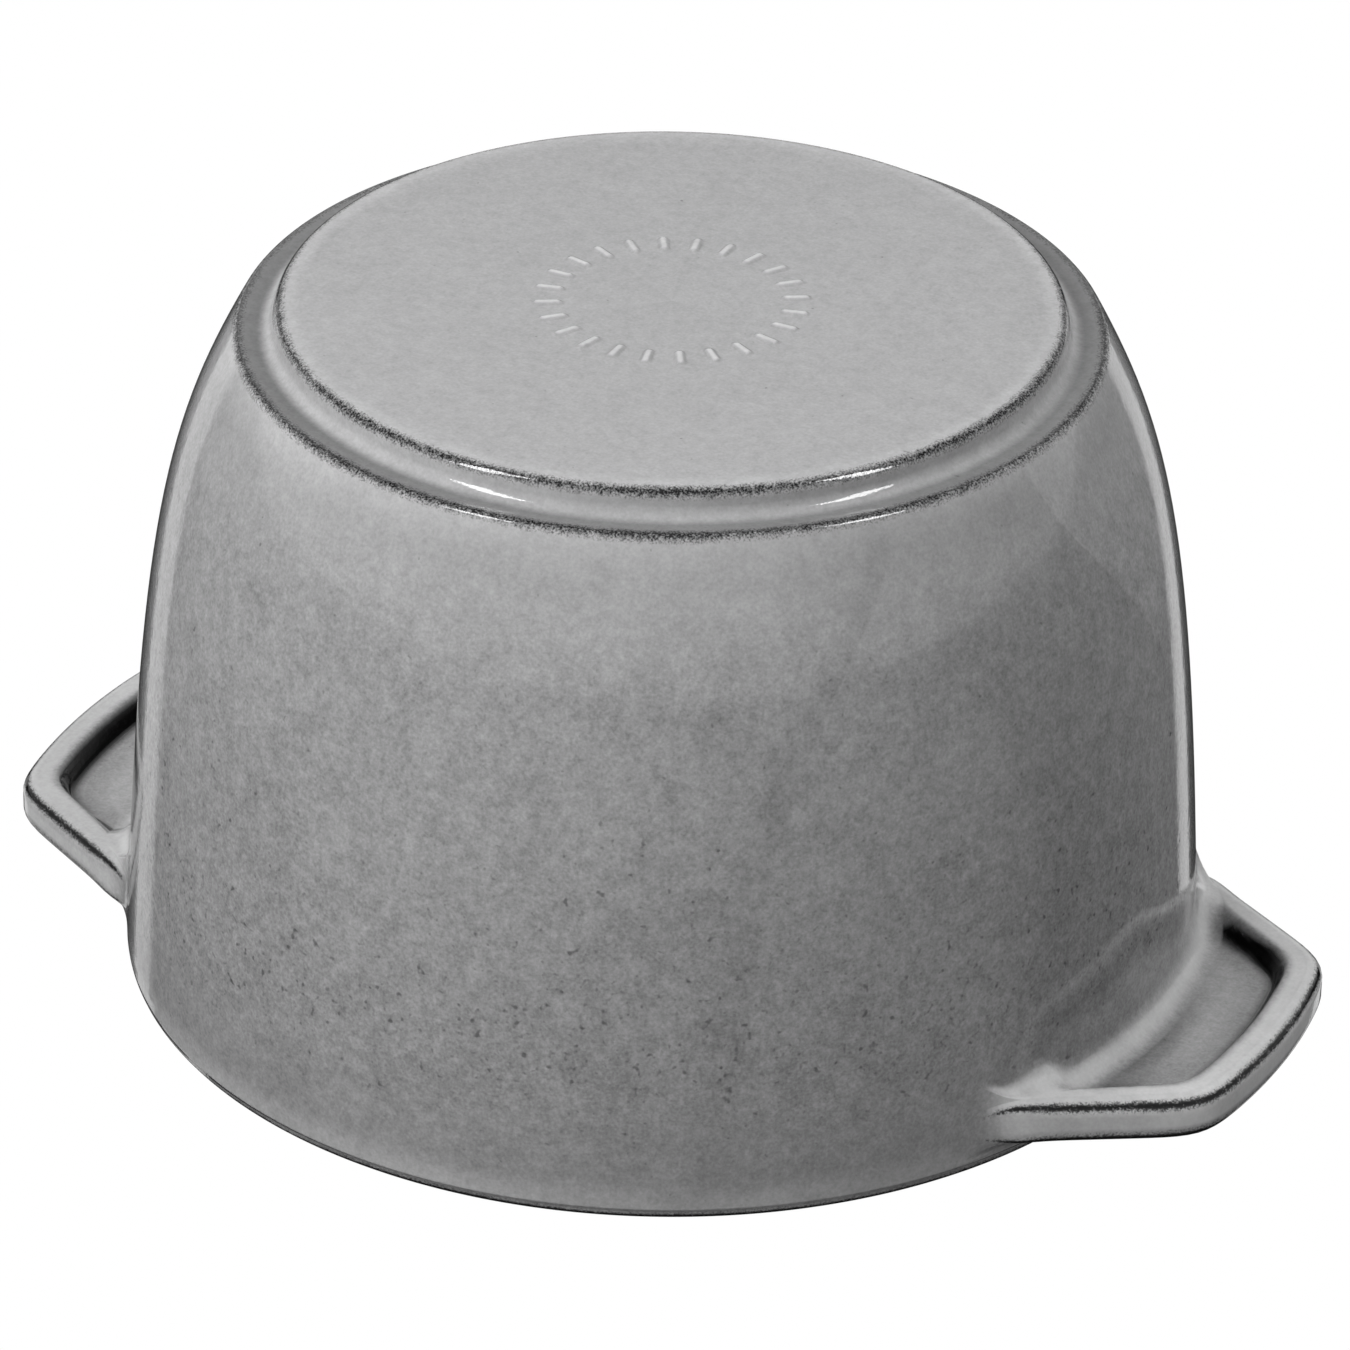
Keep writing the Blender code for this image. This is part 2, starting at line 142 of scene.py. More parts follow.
class CocotteLidSizes(bpy.types.PropertyGroup):
    """Sizes of the lid's casting"""

    clearance: length("Clearance", "Gap round the lid in its seat", 0.0006)
    seat_gap: length("Seat gap", "Gap under the lid on its seat", 0.0003)
    flange_thickness: length("Flange thickness", "Thickness of the flange in the seat", 0.0038)
    flange_width: length("Flange width", "From the lid's edge in to its shoulder", 0.0080)
    edge_round: length("Edge", "Round of the flange's and the skirt's edges", 0.0009)
    skirt_depth: length("Skirt depth", "How far the skirt reaches into the mouth", 0.0042)
    skirt_width: length("Skirt width", "Thickness of the skirt", 0.0034)
    shoulder_rise: length("Shoulder rise", "From the flange up to the crown's edge", 0.0052)
    shoulder_round: length("Shoulder round", "Round of the shoulder", 0.0026)
    crown_rise: length("Crown rise", "From the rim up to the top of the crown", 0.0150)
    thickness: length("Thickness", "Thickness of the crown", 0.0044)
    bore_radius: length("Bore radius", "Hole for the knob's screw", 0.0028)
    bump_rings: count("Bump rings", "Rings of drip bumps underneath", 3)
    bumps_per_ring: count("Bumps", "Bumps in the first ring; each ring has as many more", 6)
    bump_ring_step: length("Ring step", "Distance between two rings", 0.0175)
    bump_radius: length("Bump radius", "Radius of one bump", 0.0028)
    bump_height: length("Bump height", "How far a bump hangs down", 0.0022)
    steps: count("Steps", "Columns of faces round the lid", 216)


class CocotteKnobSizes(bpy.types.PropertyGroup):
    """Sizes of the knob, its screw and its washer"""

    height: length("Height", "Height of the knob", 0.0275)
    radius: length("Radius", "Radius of the head", 0.0165)
    head_height: length("Head height", "Height of the head", 0.0150)
    crown: length("Crown", "How far the top falls to its edge", 0.0035)
    neck_radius: length("Neck radius", "Radius of the neck", 0.0080)
    foot_radius: length("Foot radius", "Radius of the foot on the lid", 0.0108)
    foot_height: length("Foot height", "Thickness of the foot", 0.0026)
    edge_round: length("Edge", "Round of the head's edges", 0.0028)
    screw_radius: length("Screw radius", "Radius of the screw's shank", 0.0025)
    screw_grip: length("Screw grip", "Length of the shank inside the knob", 0.0120)
    screw_head_radius: length("Screw head radius", "Radius of the screw's head", 0.0050)
    screw_head_height: length("Screw head height", "Height of the screw's head", 0.0030)
    slot_width: length("Slot width", "Width of the screw's slot", 0.0012)
    slot_depth: length("Slot depth", "Depth of the screw's slot", 0.0012)
    washer_radius: length("Washer radius", "Radius of the washer", 0.0070)
    washer_thickness: length("Washer thickness", "Thickness of the washer", 0.0012)
    steps: count("Steps", "Columns of faces round the knob", 144)


class CocotteColours(bpy.types.PropertyGroup):
    """Colours of the finishes"""

    glaze: colour("Glaze", "Grey enamel on the walls", 0.278, 0.278, 0.280)
    # The paler enamel serves both for pooled glaze and for light painted on the pot.
    pooled_and_painted_light: colour("Pooled glaze and painted light", "Paler enamel where the glaze lies thick", 0.580, 0.580, 0.582)
    iron: colour("Thin glaze", "Dark base coat that shows on the edges", 0.005, 0.005, 0.0055)
    inside: colour("Inside", "Matt black enamel", 0.014, 0.014, 0.014)
    knob: colour("Knob", "Polished steel", 0.62, 0.61, 0.59)
    fastener: colour("Fasteners", "Plain steel of the screw and the washer", 0.45, 0.45, 0.44)
    floor: colour("Floor", "Pale studio floor", 0.80, 0.80, 0.80)


class CocotteStage(bpy.types.PropertyGroup):
    """Camera and light"""

    camera_distance: length("Camera distance", "From the pot's axis to the lens, along the floor", 1.20757)
    camera_drop: length("Camera drop", "From the rim down to the lens", 0.72904)
    camera_pitch: angle("Camera pitch", "Slope of the line of sight", 29.478)
    camera_yaw: angle("Camera yaw", "Sideways turn of the line of sight", 0.068)
    camera_roll: angle("Camera roll", "Turn of the picture", 0.949)
    camera_turn: angle("Camera turn", "Turn about the pot's axis", 25.84)
    camera_lens: amount("Lens", "Focal length in millimetres on a 36 mm sensor", 238.71)
    low_fill: amount("Low fill", "Light of the world from below", 0.12)
    high_fill: amount("High fill", "Light of the world from above", 0.08)
    gloom: amount("Gloom", "Dark cloth round the set, in reflections", 0.04)
    sky: amount("Sky", "Sky on the camera's side, in reflections", 0.45)
    table: amount("Table", "What lies under the pot, in reflections", 0.28)
    foot_light: amount("Foot light", "Lamp that lights the foot's face", 1.25)
    key_light: amount("Key light", "Lamps left and right of the camera", 10.2)
    glint_light: amount("Glint light", "Lamps that show as the two sharp highlights", 15.0)
    strip_light: amount("Strip light", "Upright lamps behind the pot", 0.66)
    top_light: amount("Top light", "Lamp overhead", 2.0)
    back_light: amount("Back light", "Lamp on the far side of the pot", 2.0)


class CocotteSettings(bpy.types.PropertyGroup):
    """All the cocotte's settings"""

    pot: PointerProperty(type=CocottePotSizes)
    lid: PointerProperty(type=CocotteLidSizes)
    knob: PointerProperty(type=CocotteKnobSizes)
    colours: PointerProperty(type=CocotteColours)
    stage: PointerProperty(type=CocotteStage)


def smooth(share):
    """Soft step from 0 to 1."""
    share = np.clip(share, 0.0, 1.0)
    return share * share * (3.0 - 2.0 * share)


def bell(share, middle, width):
    """Bell curve that is 1 at its middle."""
    return math.exp(-(((share - middle) / width) ** 2))


def evened(rows, rounds=4):
    """Rows of values round a turned mesh, each evened out with the columns beside it."""
    for _ in range(rounds):
        rows = (np.roll(rows, 1, axis=1) + 2.0 * rows + np.roll(rows, -1, axis=1)) / 4.0
    return rows


def lean(slope):
    """Unit direction up a wall that leans outward by an angle."""
    return Vector((math.sin(slope), math.cos(slope)))


def bezier(start, start_pull, end_pull, end, steps):
    """Rows of radius, height and wear along a cubic curve."""
    share = np.linspace(0.0, 1.0, steps + 1)[:, None]
    rest = 1.0 - share
    points = rest**3 * np.array(start) + 3 * rest**2 * share * np.array(start_pull)
    points = points + 3 * rest * share**2 * np.array(end_pull) + share**3 * np.array(end)
    return np.column_stack([points, np.zeros(steps + 1)])


def soft_outline(corners, steps=8):
    """Rows of radius, height and wear through corners: a radius, a height and maybe a round and a wear."""
    rows = []
    for index, corner in enumerate(corners):
        radius, height, turn, wear = (*corner, 0.0, 0.0)[:4]
        if turn == 0.0:
            rows.append((radius, height, wear))
            continue
        corner = Vector((radius, height))
        before = (Vector(corners[index - 1][:2]) - corner).normalized()
        after = (Vector(corners[index + 1][:2]) - corner).normalized()
        half = before.angle(after) / 2.0
        middle = corner + (before + after).normalized() * turn / math.sin(half)
        first = corner + before * turn / math.tan(half) - middle
        sweep = first.angle_signed(corner + after * turn / math.tan(half) - middle)
        start = math.atan2(first.y, first.x)
        for step in range(steps + 1):
            turned = start - sweep * step / steps
            place = middle + turn * Vector((math.cos(turned), math.sin(turned)))
            rows.append((place.x, place.y, wear * math.sin(math.pi * step / steps) ** 2))
    return np.array(rows)


def glazed_rows(rows, wear_width, pools):
    """Outline with more rows beside its crests, the wear on them, and the glaze before and after each.

    A pool is its amount and width before a crest and after it; a negative amount stands for thin glaze; on
    the pot some amounts are painted light and shade.
    """
    along = np.concatenate([[0.0], np.cumsum(np.hypot(*np.diff(rows[:, :2], axis=0).T))])
    crests = []
    for index in range(1, len(rows) - 1):
        worn = rows[index, 2]
        if worn > 0.1 and worn >= rows[index - 1, 2] and worn > rows[index + 1, 2]:
            crests.append((along[index], worn))
    places = set(along)
    for crest, worn in crests:
        for share in (-3.0, -2.2, -1.6, -1.1, 1.1, 1.6, 2.2, 3.0):
            place = crest + share * wear_width
            if np.min(np.abs(np.array(sorted(places)) - place)) > wear_width * 0.3:
                places.add(place)
    places = np.array(sorted(places))
    wear = np.zeros(len(places))
    pool_and_painted_light = np.zeros(len(places))
    for (crest, worn), (before, before_width, after, after_width) in zip(crests, pools):
        away = np.abs(places - crest)
        wear = np.maximum(wear, WEAR_SHARE * worn * np.exp(-((away / wear_width) ** 2)))
        beside_before = before * smooth((before_width - away) / (0.4 * before_width))
        beside_after = after * smooth((after_width - away) / (0.7 * after_width))
        pool_and_painted_light = pool_and_painted_light + np.where(places < crest, beside_before, beside_after)
    radii = np.interp(places, along, rows[:, 0])
    heights = np.interp(places, along, rows[:, 1])
    return np.column_stack([radii, heights, wear, pool_and_painted_light])


def turned_mesh(name, radii, heights):
    """Closed mesh from rows of radii and heights, a value per column; a row on the axis is one vertex."""
    columns = radii.shape[1]
    angles = math.tau * np.arange(columns) / columns
    rows = []
    verts = []
    total = 0
    for radius, height in zip(radii, heights):
        if np.max(radius) < ON_AXIS:
            verts.append(np.array([[0.0, 0.0, height[0]]]))
            rows.append(np.full(columns, total))
            total += 1
            continue
        verts.append(np.column_stack([radius * np.cos(angles), radius * np.sin(angles), height]))
        rows.append(np.arange(total, total + columns))
        total += columns
    faces = []
    for lower, upper in zip(rows, rows[1:]):
        quads = np.column_stack([lower, np.roll(lower, -1), np.roll(upper, -1), upper])
        if lower[0] == lower[1]:
            quads = quads[:, [0, 2, 3]]
        elif upper[0] == upper[1]:
            quads = quads[:, [0, 1, 2]]
        faces += quads.tolist()
    if rows[0][0] != rows[0][1]:
        faces += np.column_stack([rows[-1], np.roll(rows[-1], -1), np.roll(rows[0], -1), rows[0]]).tolist()
    mesh = bpy.data.meshes.new(name)
    mesh.from_pydata(np.concatenate(verts).tolist(), [], faces)
    mesh.validate()
    return mesh


def every_column(values, columns):
    """One column of values, repeated for every column of a turned mesh."""
    return np.repeat(values[:, None], columns, axis=1)


def plain_mesh(name, rows, columns):
    """Mesh of a plain turned outline."""
    return turned_mesh(name, every_column(rows[:, 0], columns), every_column(rows[:, 1], columns))


def finish_mesh(mesh, sharp=None):
    """Turns the faces outward and shades them smooth, or sharp from an angle in degrees."""
    builder = bmesh.new()
    builder.from_mesh(mesh)
    bmesh.ops.recalc_face_normals(builder, faces=builder.faces)
    if builder.calc_volume(signed=True) < 0.0:
        bmesh.ops.reverse_faces(builder, faces=builder.faces)
    builder.to_mesh(mesh)
    builder.free()
    mesh.shade_smooth()
    if sharp:
        mesh.set_sharp_from_angle(angle=math.radians(sharp))


def glazed_mesh(name, parts, outside, inside, first_black):
    """Finished mesh of rows of radii, heights, wear, and pooled glaze with painted light and shade, with
    black faces from a vertex on.
    """
    radii, heights, wear, pool_and_painted_light = parts
    mesh = turned_mesh(name, radii, heights)
    for label, values in (("wear", wear), ("pool_and_painted_light", pool_and_painted_light)):
        kept = [row[:1] if np.max(radius) < ON_AXIS else row for radius, row in zip(radii, values)]
        attribute = mesh.attributes.new(label, "FLOAT", "POINT")
        attribute.data.foreach_set("value", np.concatenate(kept).astype(np.float32))
    mesh.materials.append(outside)
    mesh.materials.append(inside)
    black = [polygon.vertices[0] >= first_black for polygon in mesh.polygons]
    mesh.polygons.foreach_set("material_index", np.array(black, dtype=np.int32))
    finish_mesh(mesh)
    return mesh


def link_object(name, data):
    """New object in the scene."""
    item = bpy.data.objects.new(name, data)
    bpy.context.scene.collection.objects.link(item)
    return item


def place_piece(mesh, body, nodes):
    """Puts a finished mesh in the scene in place of its CAD node."""
    piece = link_object(mesh.name, mesh)
    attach(piece, body)
    if nodes:
        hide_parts(*nodes)


def evaluated_mesh(item, name):
    """Plain mesh of an object with its modifiers, which is removed."""
    ready = item.evaluated_get(bpy.context.evaluated_depsgraph_get())
    mesh = bpy.data.meshes.new_from_object(ready)
    mesh.name = name
    bpy.data.objects.remove(item, do_unlink=True)
    return mesh


def wall_rows(pot):
    """Outer wall from the shoulder up to the band under the rim."""
    start = Vector((pot.shoulder_radius, pot.shoulder_height)) + lean(pot.wall_foot_lean) * pot.shoulder_round
    end = Vector((pot.rim_radius, pot.height - pot.rim_band))
    start_pull = start + lean(pot.wall_foot_lean) * pot.wall_foot_pull
    end_pull = end - lean(pot.wall_rim_lean) * pot.wall_rim_pull
    return bezier(start, start_pull, end_pull, end, WALL_ROWS)


def foot_rows(pot, wall):
    """Foot from the middle of its face, over its edge, cove and shoulder, to the start of the wall."""
    ease_start = pot.foot_radius - FACE_EASE_WIDTH
    ridge_margin = 0.0014
    ridge_row_step = 0.0004
    past_ridges = 0.026
    radii = [0.0, 0.006, 0.0115]
    radii += list(np.arange(pot.ridge_inner - ridge_margin, pot.ridge_outer + ridge_margin, ridge_row_step))
    radii += list(np.linspace(past_ridges, ease_start, 5))
    face = [(radius, 0.0) for radius in radii]
    for share in (0.25, 0.5, 0.75, 1.0):
        radius = ease_start + share * (FACE_EASE_WIDTH - pot.foot_edge_round * 1.05)
        face.append((radius, pot.foot_ease * share**2))
    return soft_outline(face + [
        (pot.foot_radius, pot.foot_ease * 1.4, pot.foot_edge_round, 1.0),
        (pot.foot_radius + pot.foot_draft, pot.foot_step, pot.foot_cove_round),
        (pot.shoulder_radius, pot.shoulder_height, pot.shoulder_round, 1.0),
        (wall[8, 0], wall[8, 1]),
    ])[:-1]


def rim_rows(pot, wall):
    """Rim, lip, seat and inner wall, down to the middle of the floor, and the row where black starts."""
    seat = pot.height - pot.seat_depth
    lip = pot.rim_radius - pot.lip_thickness
    mouth = lip - pot.seat_width
    along = np.gradient(wall[:, :2], axis=0)
    along /= np.hypot(along[:, 0], along[:, 1])[:, None]
    inner = wall[:, :2] + np.column_stack([-along[:, 1], along[:, 0]]) * pot.wall_thickness
    lowest = pot.floor_thickness + pot.inner_corner_height
    straight = inner[(inner[:, 1] >= lowest) & (inner[:, 1] <= seat - pot.seat_taper)]
    rise = straight[1] - straight[0]
    rise /= np.hypot(*rise)
    floor_edge = np.array([straight[0, 0] - pot.inner_corner_width, pot.floor_thickness])
    pull = 0.55
    along_floor = floor_edge + np.array([pot.inner_corner_width * pull, 0.0])
    down_wall = straight[0] - rise * pot.inner_corner_height * pull
    corner = bezier(floor_edge, along_floor, down_wall, straight[0], 12)
    steps = 6
    rim = soft_outline([
        (pot.rim_radius, pot.height - pot.rim_band),
        # Worn outer edge of the rim, darkened beyond its wear by painted shade.
        (pot.rim_radius, pot.height, pot.rim_edge_round, 1.3),
        (lip, pot.height, pot.lip_edge_round, 0.9),
        (lip, seat, pot.lip_edge_round * 0.8),
        (mouth, seat, pot.lip_edge_round, 0.4),
        (straight[-1, 0], straight[-1, 1]),
    ], steps)[1:-1]
    past_lip_edge = steps + 5
    falling = np.column_stack([straight[::-2], np.zeros(len(straight[::-2]))])
    middle = np.array([[floor_edge[0] * 0.5, pot.floor_thickness, 0.0], [0.0, pot.floor_thickness, 0.0]])
    return np.concatenate([rim, falling, corner[-2::-1], middle]), past_lip_edge


def lug_plan(pot, angles, inset):
    """Radius of a lug's plan drawn in by an inset, at angles from the lug's axis, or the wall's radius."""
    half_tip = pot.handle_tip_width / 2
    half_root = pot.handle_root_width / 2
    sharpest = 0.0006
    tip = Vector((math.sqrt(pot.handle_reach**2 - half_tip**2), half_tip))
    root = Vector((math.sqrt(pot.rim_radius**2 - half_root**2), half_root))
    along = (root - tip).normalized()
    square = math.atan2(-along.x, along.y)
    side = along.y * tip.x - along.x * tip.y - inset
    reach = pot.handle_reach - inset
    turn = np.maximum(pot.handle_corner_round - inset, sharpest)
    corner_angle = square - np.arccos(np.clip((side - turn) / (reach - turn), -1.0, 1.0))
    corner = reach - turn
    away = angles - corner_angle
    on_corner = corner * np.cos(away) + np.sqrt(np.maximum(turn**2 - (corner * np.sin(away)) ** 2, 0.0))
    on_side = side / np.maximum(np.cos(square - angles), 0.05)
    flare_turn = pot.handle_root_round + inset
    flare_reach = pot.rim_radius + pot.handle_root_round
    flare_angle = square - np.arccos(np.clip((side + flare_turn) / flare_reach, -1.0, 1.0))
    swing = angles - flare_angle
    under = np.maximum(flare_turn**2 - (flare_reach * np.sin(swing)) ** 2, 0.0)
    on_flare = flare_reach * np.cos(swing) - np.sqrt(under)

    def side_meets(distance, angle, radius):
        across = distance * np.sin(angle) + radius * math.sin(square)
        return np.arctan2(across, distance * np.cos(angle) + radius * math.cos(square))

    side_start = side_meets(corner, corner_angle, turn)
    side_end = side_meets(flare_reach, flare_angle, -flare_turn)
    plan = np.where(angles <= corner_angle, reach, on_corner)
    plan = np.where(angles >= side_start, on_side, plan)
    plan = np.where(angles >= side_end, on_flare, plan)
    return np.where(angles >= flare_angle, pot.rim_radius - inset, plan)


def lug_insets(pot, angles, radius):
    """Inset at which a lug's plan has a given radius at each angle."""
    deepest = 0.03
    halvings = 40
    low = np.zeros_like(angles)
    high = np.full_like(angles, deepest)
    for _ in range(halvings):
        middle = (low + high) / 2.0
        outside = lug_plan(pot, angles, middle) > radius
        low = np.where(outside, middle, low)
        high = np.where(outside, high, middle)
    return (low + high) / 2.0


def lug_rows(pot, wall):
    """Rows from the wall below the lugs, round each lug, to the rim: radii, heights, wear, and pooled glaze
    with painted light and shade.

    The other lug's border is painted darker than the first's, as shade; the first lug has painted shade along
    its root on its +Y side, and both sunk undersides have thin glaze darkened by painted shade.
    """
    turned = math.tau * np.arange(pot.steps) / pot.steps
    angles = np.abs((turned + math.pi / 2) % math.pi - math.pi / 2)
    top = pot.height - pot.handle_drop
    bottom = top - pot.handle_thickness
    end_z = pot.height - pot.rim_edge_round
    full_reach = 0.0035
    reach = np.maximum(lug_plan(pot, angles, np.zeros_like(angles)) - pot.rim_radius, 0.0)
    present = smooth(reach / full_reach)
    cove = np.minimum(pot.recess_cove, 0.50 * reach)
    edge = np.minimum(pot.handle_edge_round, 0.40 * reach)
    top_cove = np.minimum(pot.handle_top_cove, 0.40 * reach)
    root_inset = np.maximum(lug_insets(pot, angles, pot.rim_radius + cove), edge)
    slope_start = pot.handle_border - pot.recess_slope / 2
    first_lug = np.cos(turned) > 0.0
    # Pale glaze on the lug borders; the other lug's border is painted darker, as shade.
    border_glaze_and_shade = np.where(first_lug, 1.0, 0.78)
    deep_margin, deep_width = 0.0004, 0.0018
    deep = smooth((root_inset - slope_start - deep_margin) / deep_width)
    at_tip = smooth((0.30 - angles) / 0.10)
    # Painted shade along the first lug's root, in the crease of its sunk underside, on its +Y side.
    root_shade_end, root_shade_fade, root_shade_width = 0.020, 0.022, 0.0050
    root_painted_shade = 0.60 * deep * smooth((pot.rim_radius * np.sin(turned) + root_shade_end) / root_shade_fade) * first_lug
    rows = []

    def sunk(inset):
        return bottom + pot.recess_depth * smooth((inset - slope_start) / pot.recess_slope)

    def pooled_and_painted_light(inset):
        on_slope = (inset - slope_start) / pot.recess_slope
        return border_glaze_and_shade * smooth((0.1 - on_slope) / 0.6) + 0.32 * smooth((on_slope - 1.0) / 0.6)

    def add_row(offset, height, wear=0.0, pool_and_painted_light=0.0):
        rows.append([np.broadcast_to(part, angles.shape) for part in (offset, height, wear, pool_and_painted_light)])

    def add_plan_row(inset, height, wear, pool_and_painted_light):
        add_row(lug_plan(pot, angles, inset) - pot.rim_radius, height, wear, pool_and_painted_light)

    def quarter(steps):
        for share in np.linspace(0.0, 1.0, steps):
            yield share, math.sin(share * math.pi / 2), math.cos(share * math.pi / 2)

    floor = sunk(root_inset)
    for share in (0.0, 0.35, 0.65, 0.85):
        add_row(0.0, LUG_ROWS_FROM + (floor - cove - LUG_ROWS_FROM) * share)
    # Painted shade where the sunk floor meets the cove, and the first lug's painted shade along its root.
    at_root = pooled_and_painted_light(root_inset) - 0.12 * deep - root_painted_shade
    for share, sine, cosine in quarter(9):
        in_cove = math.sin(math.pi * share) ** 2
        # Glaze pooled in the cove, kept pale as a painted light band along it.
        pool_and_painted_light = 0.9 * in_cove + at_root * max(2.0 * share - 1.0, 0.0) * (1.0 - in_cove)
        add_row(cove * (1.0 - cosine), floor - cove * (1.0 - sine), 0.0, pool_and_painted_light)

    targets = [0.0300, 0.0170, 0.0140, 0.0115, 0.0100]  # insets of the rows under a lug, from its root out
    for share in (1.6, 1.3, 1.1, 0.95, 0.8, 0.65, 0.5, 0.35, 0.2, 0.05, -0.1, -0.3):
        targets.append(slope_start + pot.recess_slope * share)
    targets += [0.0040, 0.0034, 0.0029]
    for index, target in enumerate(targets[1:], 1):
        even = edge + (root_inset - edge) * (1.0 - index / len(targets))
        inset = np.minimum(np.maximum(target, edge), even)
        on_slope = (inset - slope_start) / pot.recess_slope
        # Thin glaze darkened by painted shade on the slope into the sunk underside, and a band of painted
        # shade on its floor beside the border.
        thin_and_shaded = 1.35 * smooth((on_slope + 0.10) / 0.75) * smooth((1.65 - on_slope) / 1.20)
        thin_and_shaded = np.minimum(thin_and_shaded, 1.0) + 0.30 * smooth((on_slope - 0.9) / 0.5) * smooth((3.3 - on_slope) / 1.2)
        thin_and_shaded = deep * thin_and_shaded + root_painted_shade * smooth(1.0 - (root_inset - inset) / root_shade_width)
        add_plan_row(inset, sunk(inset), 0.0, pooled_and_painted_light(inset) - thin_and_shaded)

    for share, sine, cosine in quarter(12):
        pool_and_painted_light = 0.9 * border_glaze_and_shade - (0.2 - 0.30 * at_tip) * share
        worn = 1.18 * bell(share, 0.56, 0.19)
        add_plan_row(edge * (1.0 - sine), bottom + edge * (1.0 - cosine), worn, pool_and_painted_light)
    low = bottom + edge
    for share in (0.25, 0.5, 0.75):
        add_row(reach, low + (top - edge - low) * share, 0.0, 0.7 + 0.30 * at_tip)
    for share, sine, cosine in quarter(8):
        worn = 1.3 * bell(share, 0.40, 0.26)
        add_plan_row(edge * (1.0 - cosine), top - edge * (1.0 - sine), worn, 0.3)
    outer = lug_plan(pot, angles, edge) - pot.rim_radius
    for share in (0.2, 0.4, 0.6, 0.8):
        add_row(outer + (top_cove - outer) * share, top)
    for share, sine, cosine in quarter(6):
        add_row(top_cove * (1.0 - sine), top + top_cove * (1.0 - cosine))
    add_row(0.0, end_z)

    offset, height, wear, pool_and_painted_light = [np.array(part) for part in zip(*rows)]
    plain = np.linspace(LUG_ROWS_FROM, end_z, len(rows))[:, None]
    height = plain + (height - plain) * present
    offset = np.maximum(offset, 0.0) * present
    height = evened(height)
    offset = evened(offset)
    blend_reach = 0.004
    outside = np.concatenate([wall, [[pot.rim_radius, end_z, 0.0]]])
    at_wall = np.interp(height, outside[:, 1], outside[:, 0])
    radii = at_wall + offset + (pot.rim_radius - at_wall) * (1.0 - np.exp(-offset / blend_reach))
    return radii, height, wear * present, pool_and_painted_light * present


def ridge_relief(pot, radii):
    """Height of the ring of soft ridges under the foot."""
    turned = math.tau * np.arange(pot.steps) / pot.steps
    pitch = math.tau / pot.ridges
    across = np.abs((turned + pitch / 2) % pitch - pitch / 2) * np.maximum(radii, 1e-6)
    middle = (pot.ridge_inner + pot.ridge_outer) / 2
    half = (pot.ridge_outer - pot.ridge_inner) / 2 - pot.ridge_width / 2
    past = np.maximum(np.abs(radii - middle) - half, 0.0)
    away = np.hypot(across, past)
    return pot.ridge_height * smooth((pot.ridge_width * 0.85 - away) / (pot.ridge_width * 0.7))


class Output:
    """Output of a node in a tree; Python's operators on it make Math nodes."""

    def __init__(self, tree, socket):
        self.tree = tree
        self.socket = socket

    def math(self, operation, first, second=0.0):
        """Output of a Math node."""
        return output(self.tree, "ShaderNodeMath", {0: first, 1: second}, operation=operation)

    def __add__(self, other):
        return self.math("ADD", self, other)

    def __sub__(self, other):
        return self.math("SUBTRACT", self, other)

    def __rsub__(self, other):
        return self.math("SUBTRACT", other, self)

    def __mul__(self, other):
        return self.math("MULTIPLY", self, other)

    def __truediv__(self, other):
        return self.math("DIVIDE", self, other)

    def __lt__(self, other):
        return self.math("LESS_THAN", self, other)

    def largest(self, other):
        """Larger of two numbers."""
        return self.math("MAXIMUM", self, other)

    def ranged(self, low, high, to_low, to_high, interpolation="LINEAR"):
        """Number mapped from one range to another and clamped to it."""
        values = {"Value": self, "From Min": low, "From Max": high, "To Min": to_low, "To Max": to_high}
        return output(self.tree, "ShaderNodeMapRange", values, interpolation_type=interpolation)


def add_node(tree, kind, inputs=None, **settings):
    """Node with its settings and its inputs, which are plain values or other nodes' outputs."""
    made = tree.nodes.new(kind)
    for name, value in settings.items():
        setattr(made, name, value)
    for name, value in (inputs or {}).items():
        if isinstance(value, Output):
            tree.links.new(value.socket, made.inputs[name])
        else:
            made.inputs[name].default_value = value
    return made


def output(tree, kind, inputs=None, name=0, **settings):
    """One output of a new node."""
    return Output(tree, add_node(tree, kind, inputs, **settings).outputs[name])


def outputs(tree, node):
    """All of a node's outputs by name."""
    return {socket.name: Output(tree, socket) for socket in node.outputs}


def feed(node, values):
    """Links outputs to a node's inputs."""
    for name, value in values.items():
        value.tree.links.new(value.socket, node.inputs[name])


def object_place(tree):
    """Place on the object."""
    return output(tree, "ShaderNodeTexCoord", name="Object")


def mixed(share, first, second):
    """Mix of two colours."""
    return output(share.tree, "ShaderNodeMix", {0: share, 6: first, 7: second}, 2, data_type="RGBA")


def scaled(first, share):
    """Colour or vector times a number."""
    return output(share.tree, "ShaderNodeVectorMath", {0: first, "Scale": share}, operation="SCALE")


def measured(operation, first, second=(0.0, 0.0, 0.0)):
    """Number worked out from vectors."""
    return output(first.tree, "ShaderNodeVectorMath", {0: first, 1: second}, "Value", operation=operation)


def noise(place, scale, detail, roughness=0.55):
    """Noise over a place, as a number around 0.5."""
    values = {"Vector": place, "Scale": scale, "Detail": detail, "Roughness": roughness}
    return output(place.tree, "ShaderNodeTexNoise", values, "Fac")


def new_group(name, kind, inputs, results):
    """Node group with named and typed sockets: its tree, its inputs by name and its output node."""
    tree = bpy.data.node_groups.new(name, kind + "NodeTree")
    for way, sockets in (("INPUT", inputs), ("OUTPUT", results)):
        for label, form in sockets.items():
            tree.interface.new_socket(label, in_out=way, socket_type="NodeSocket" + form)
    return tree, outputs(tree, tree.nodes.new("NodeGroupInput")), tree.nodes.new("NodeGroupOutput")


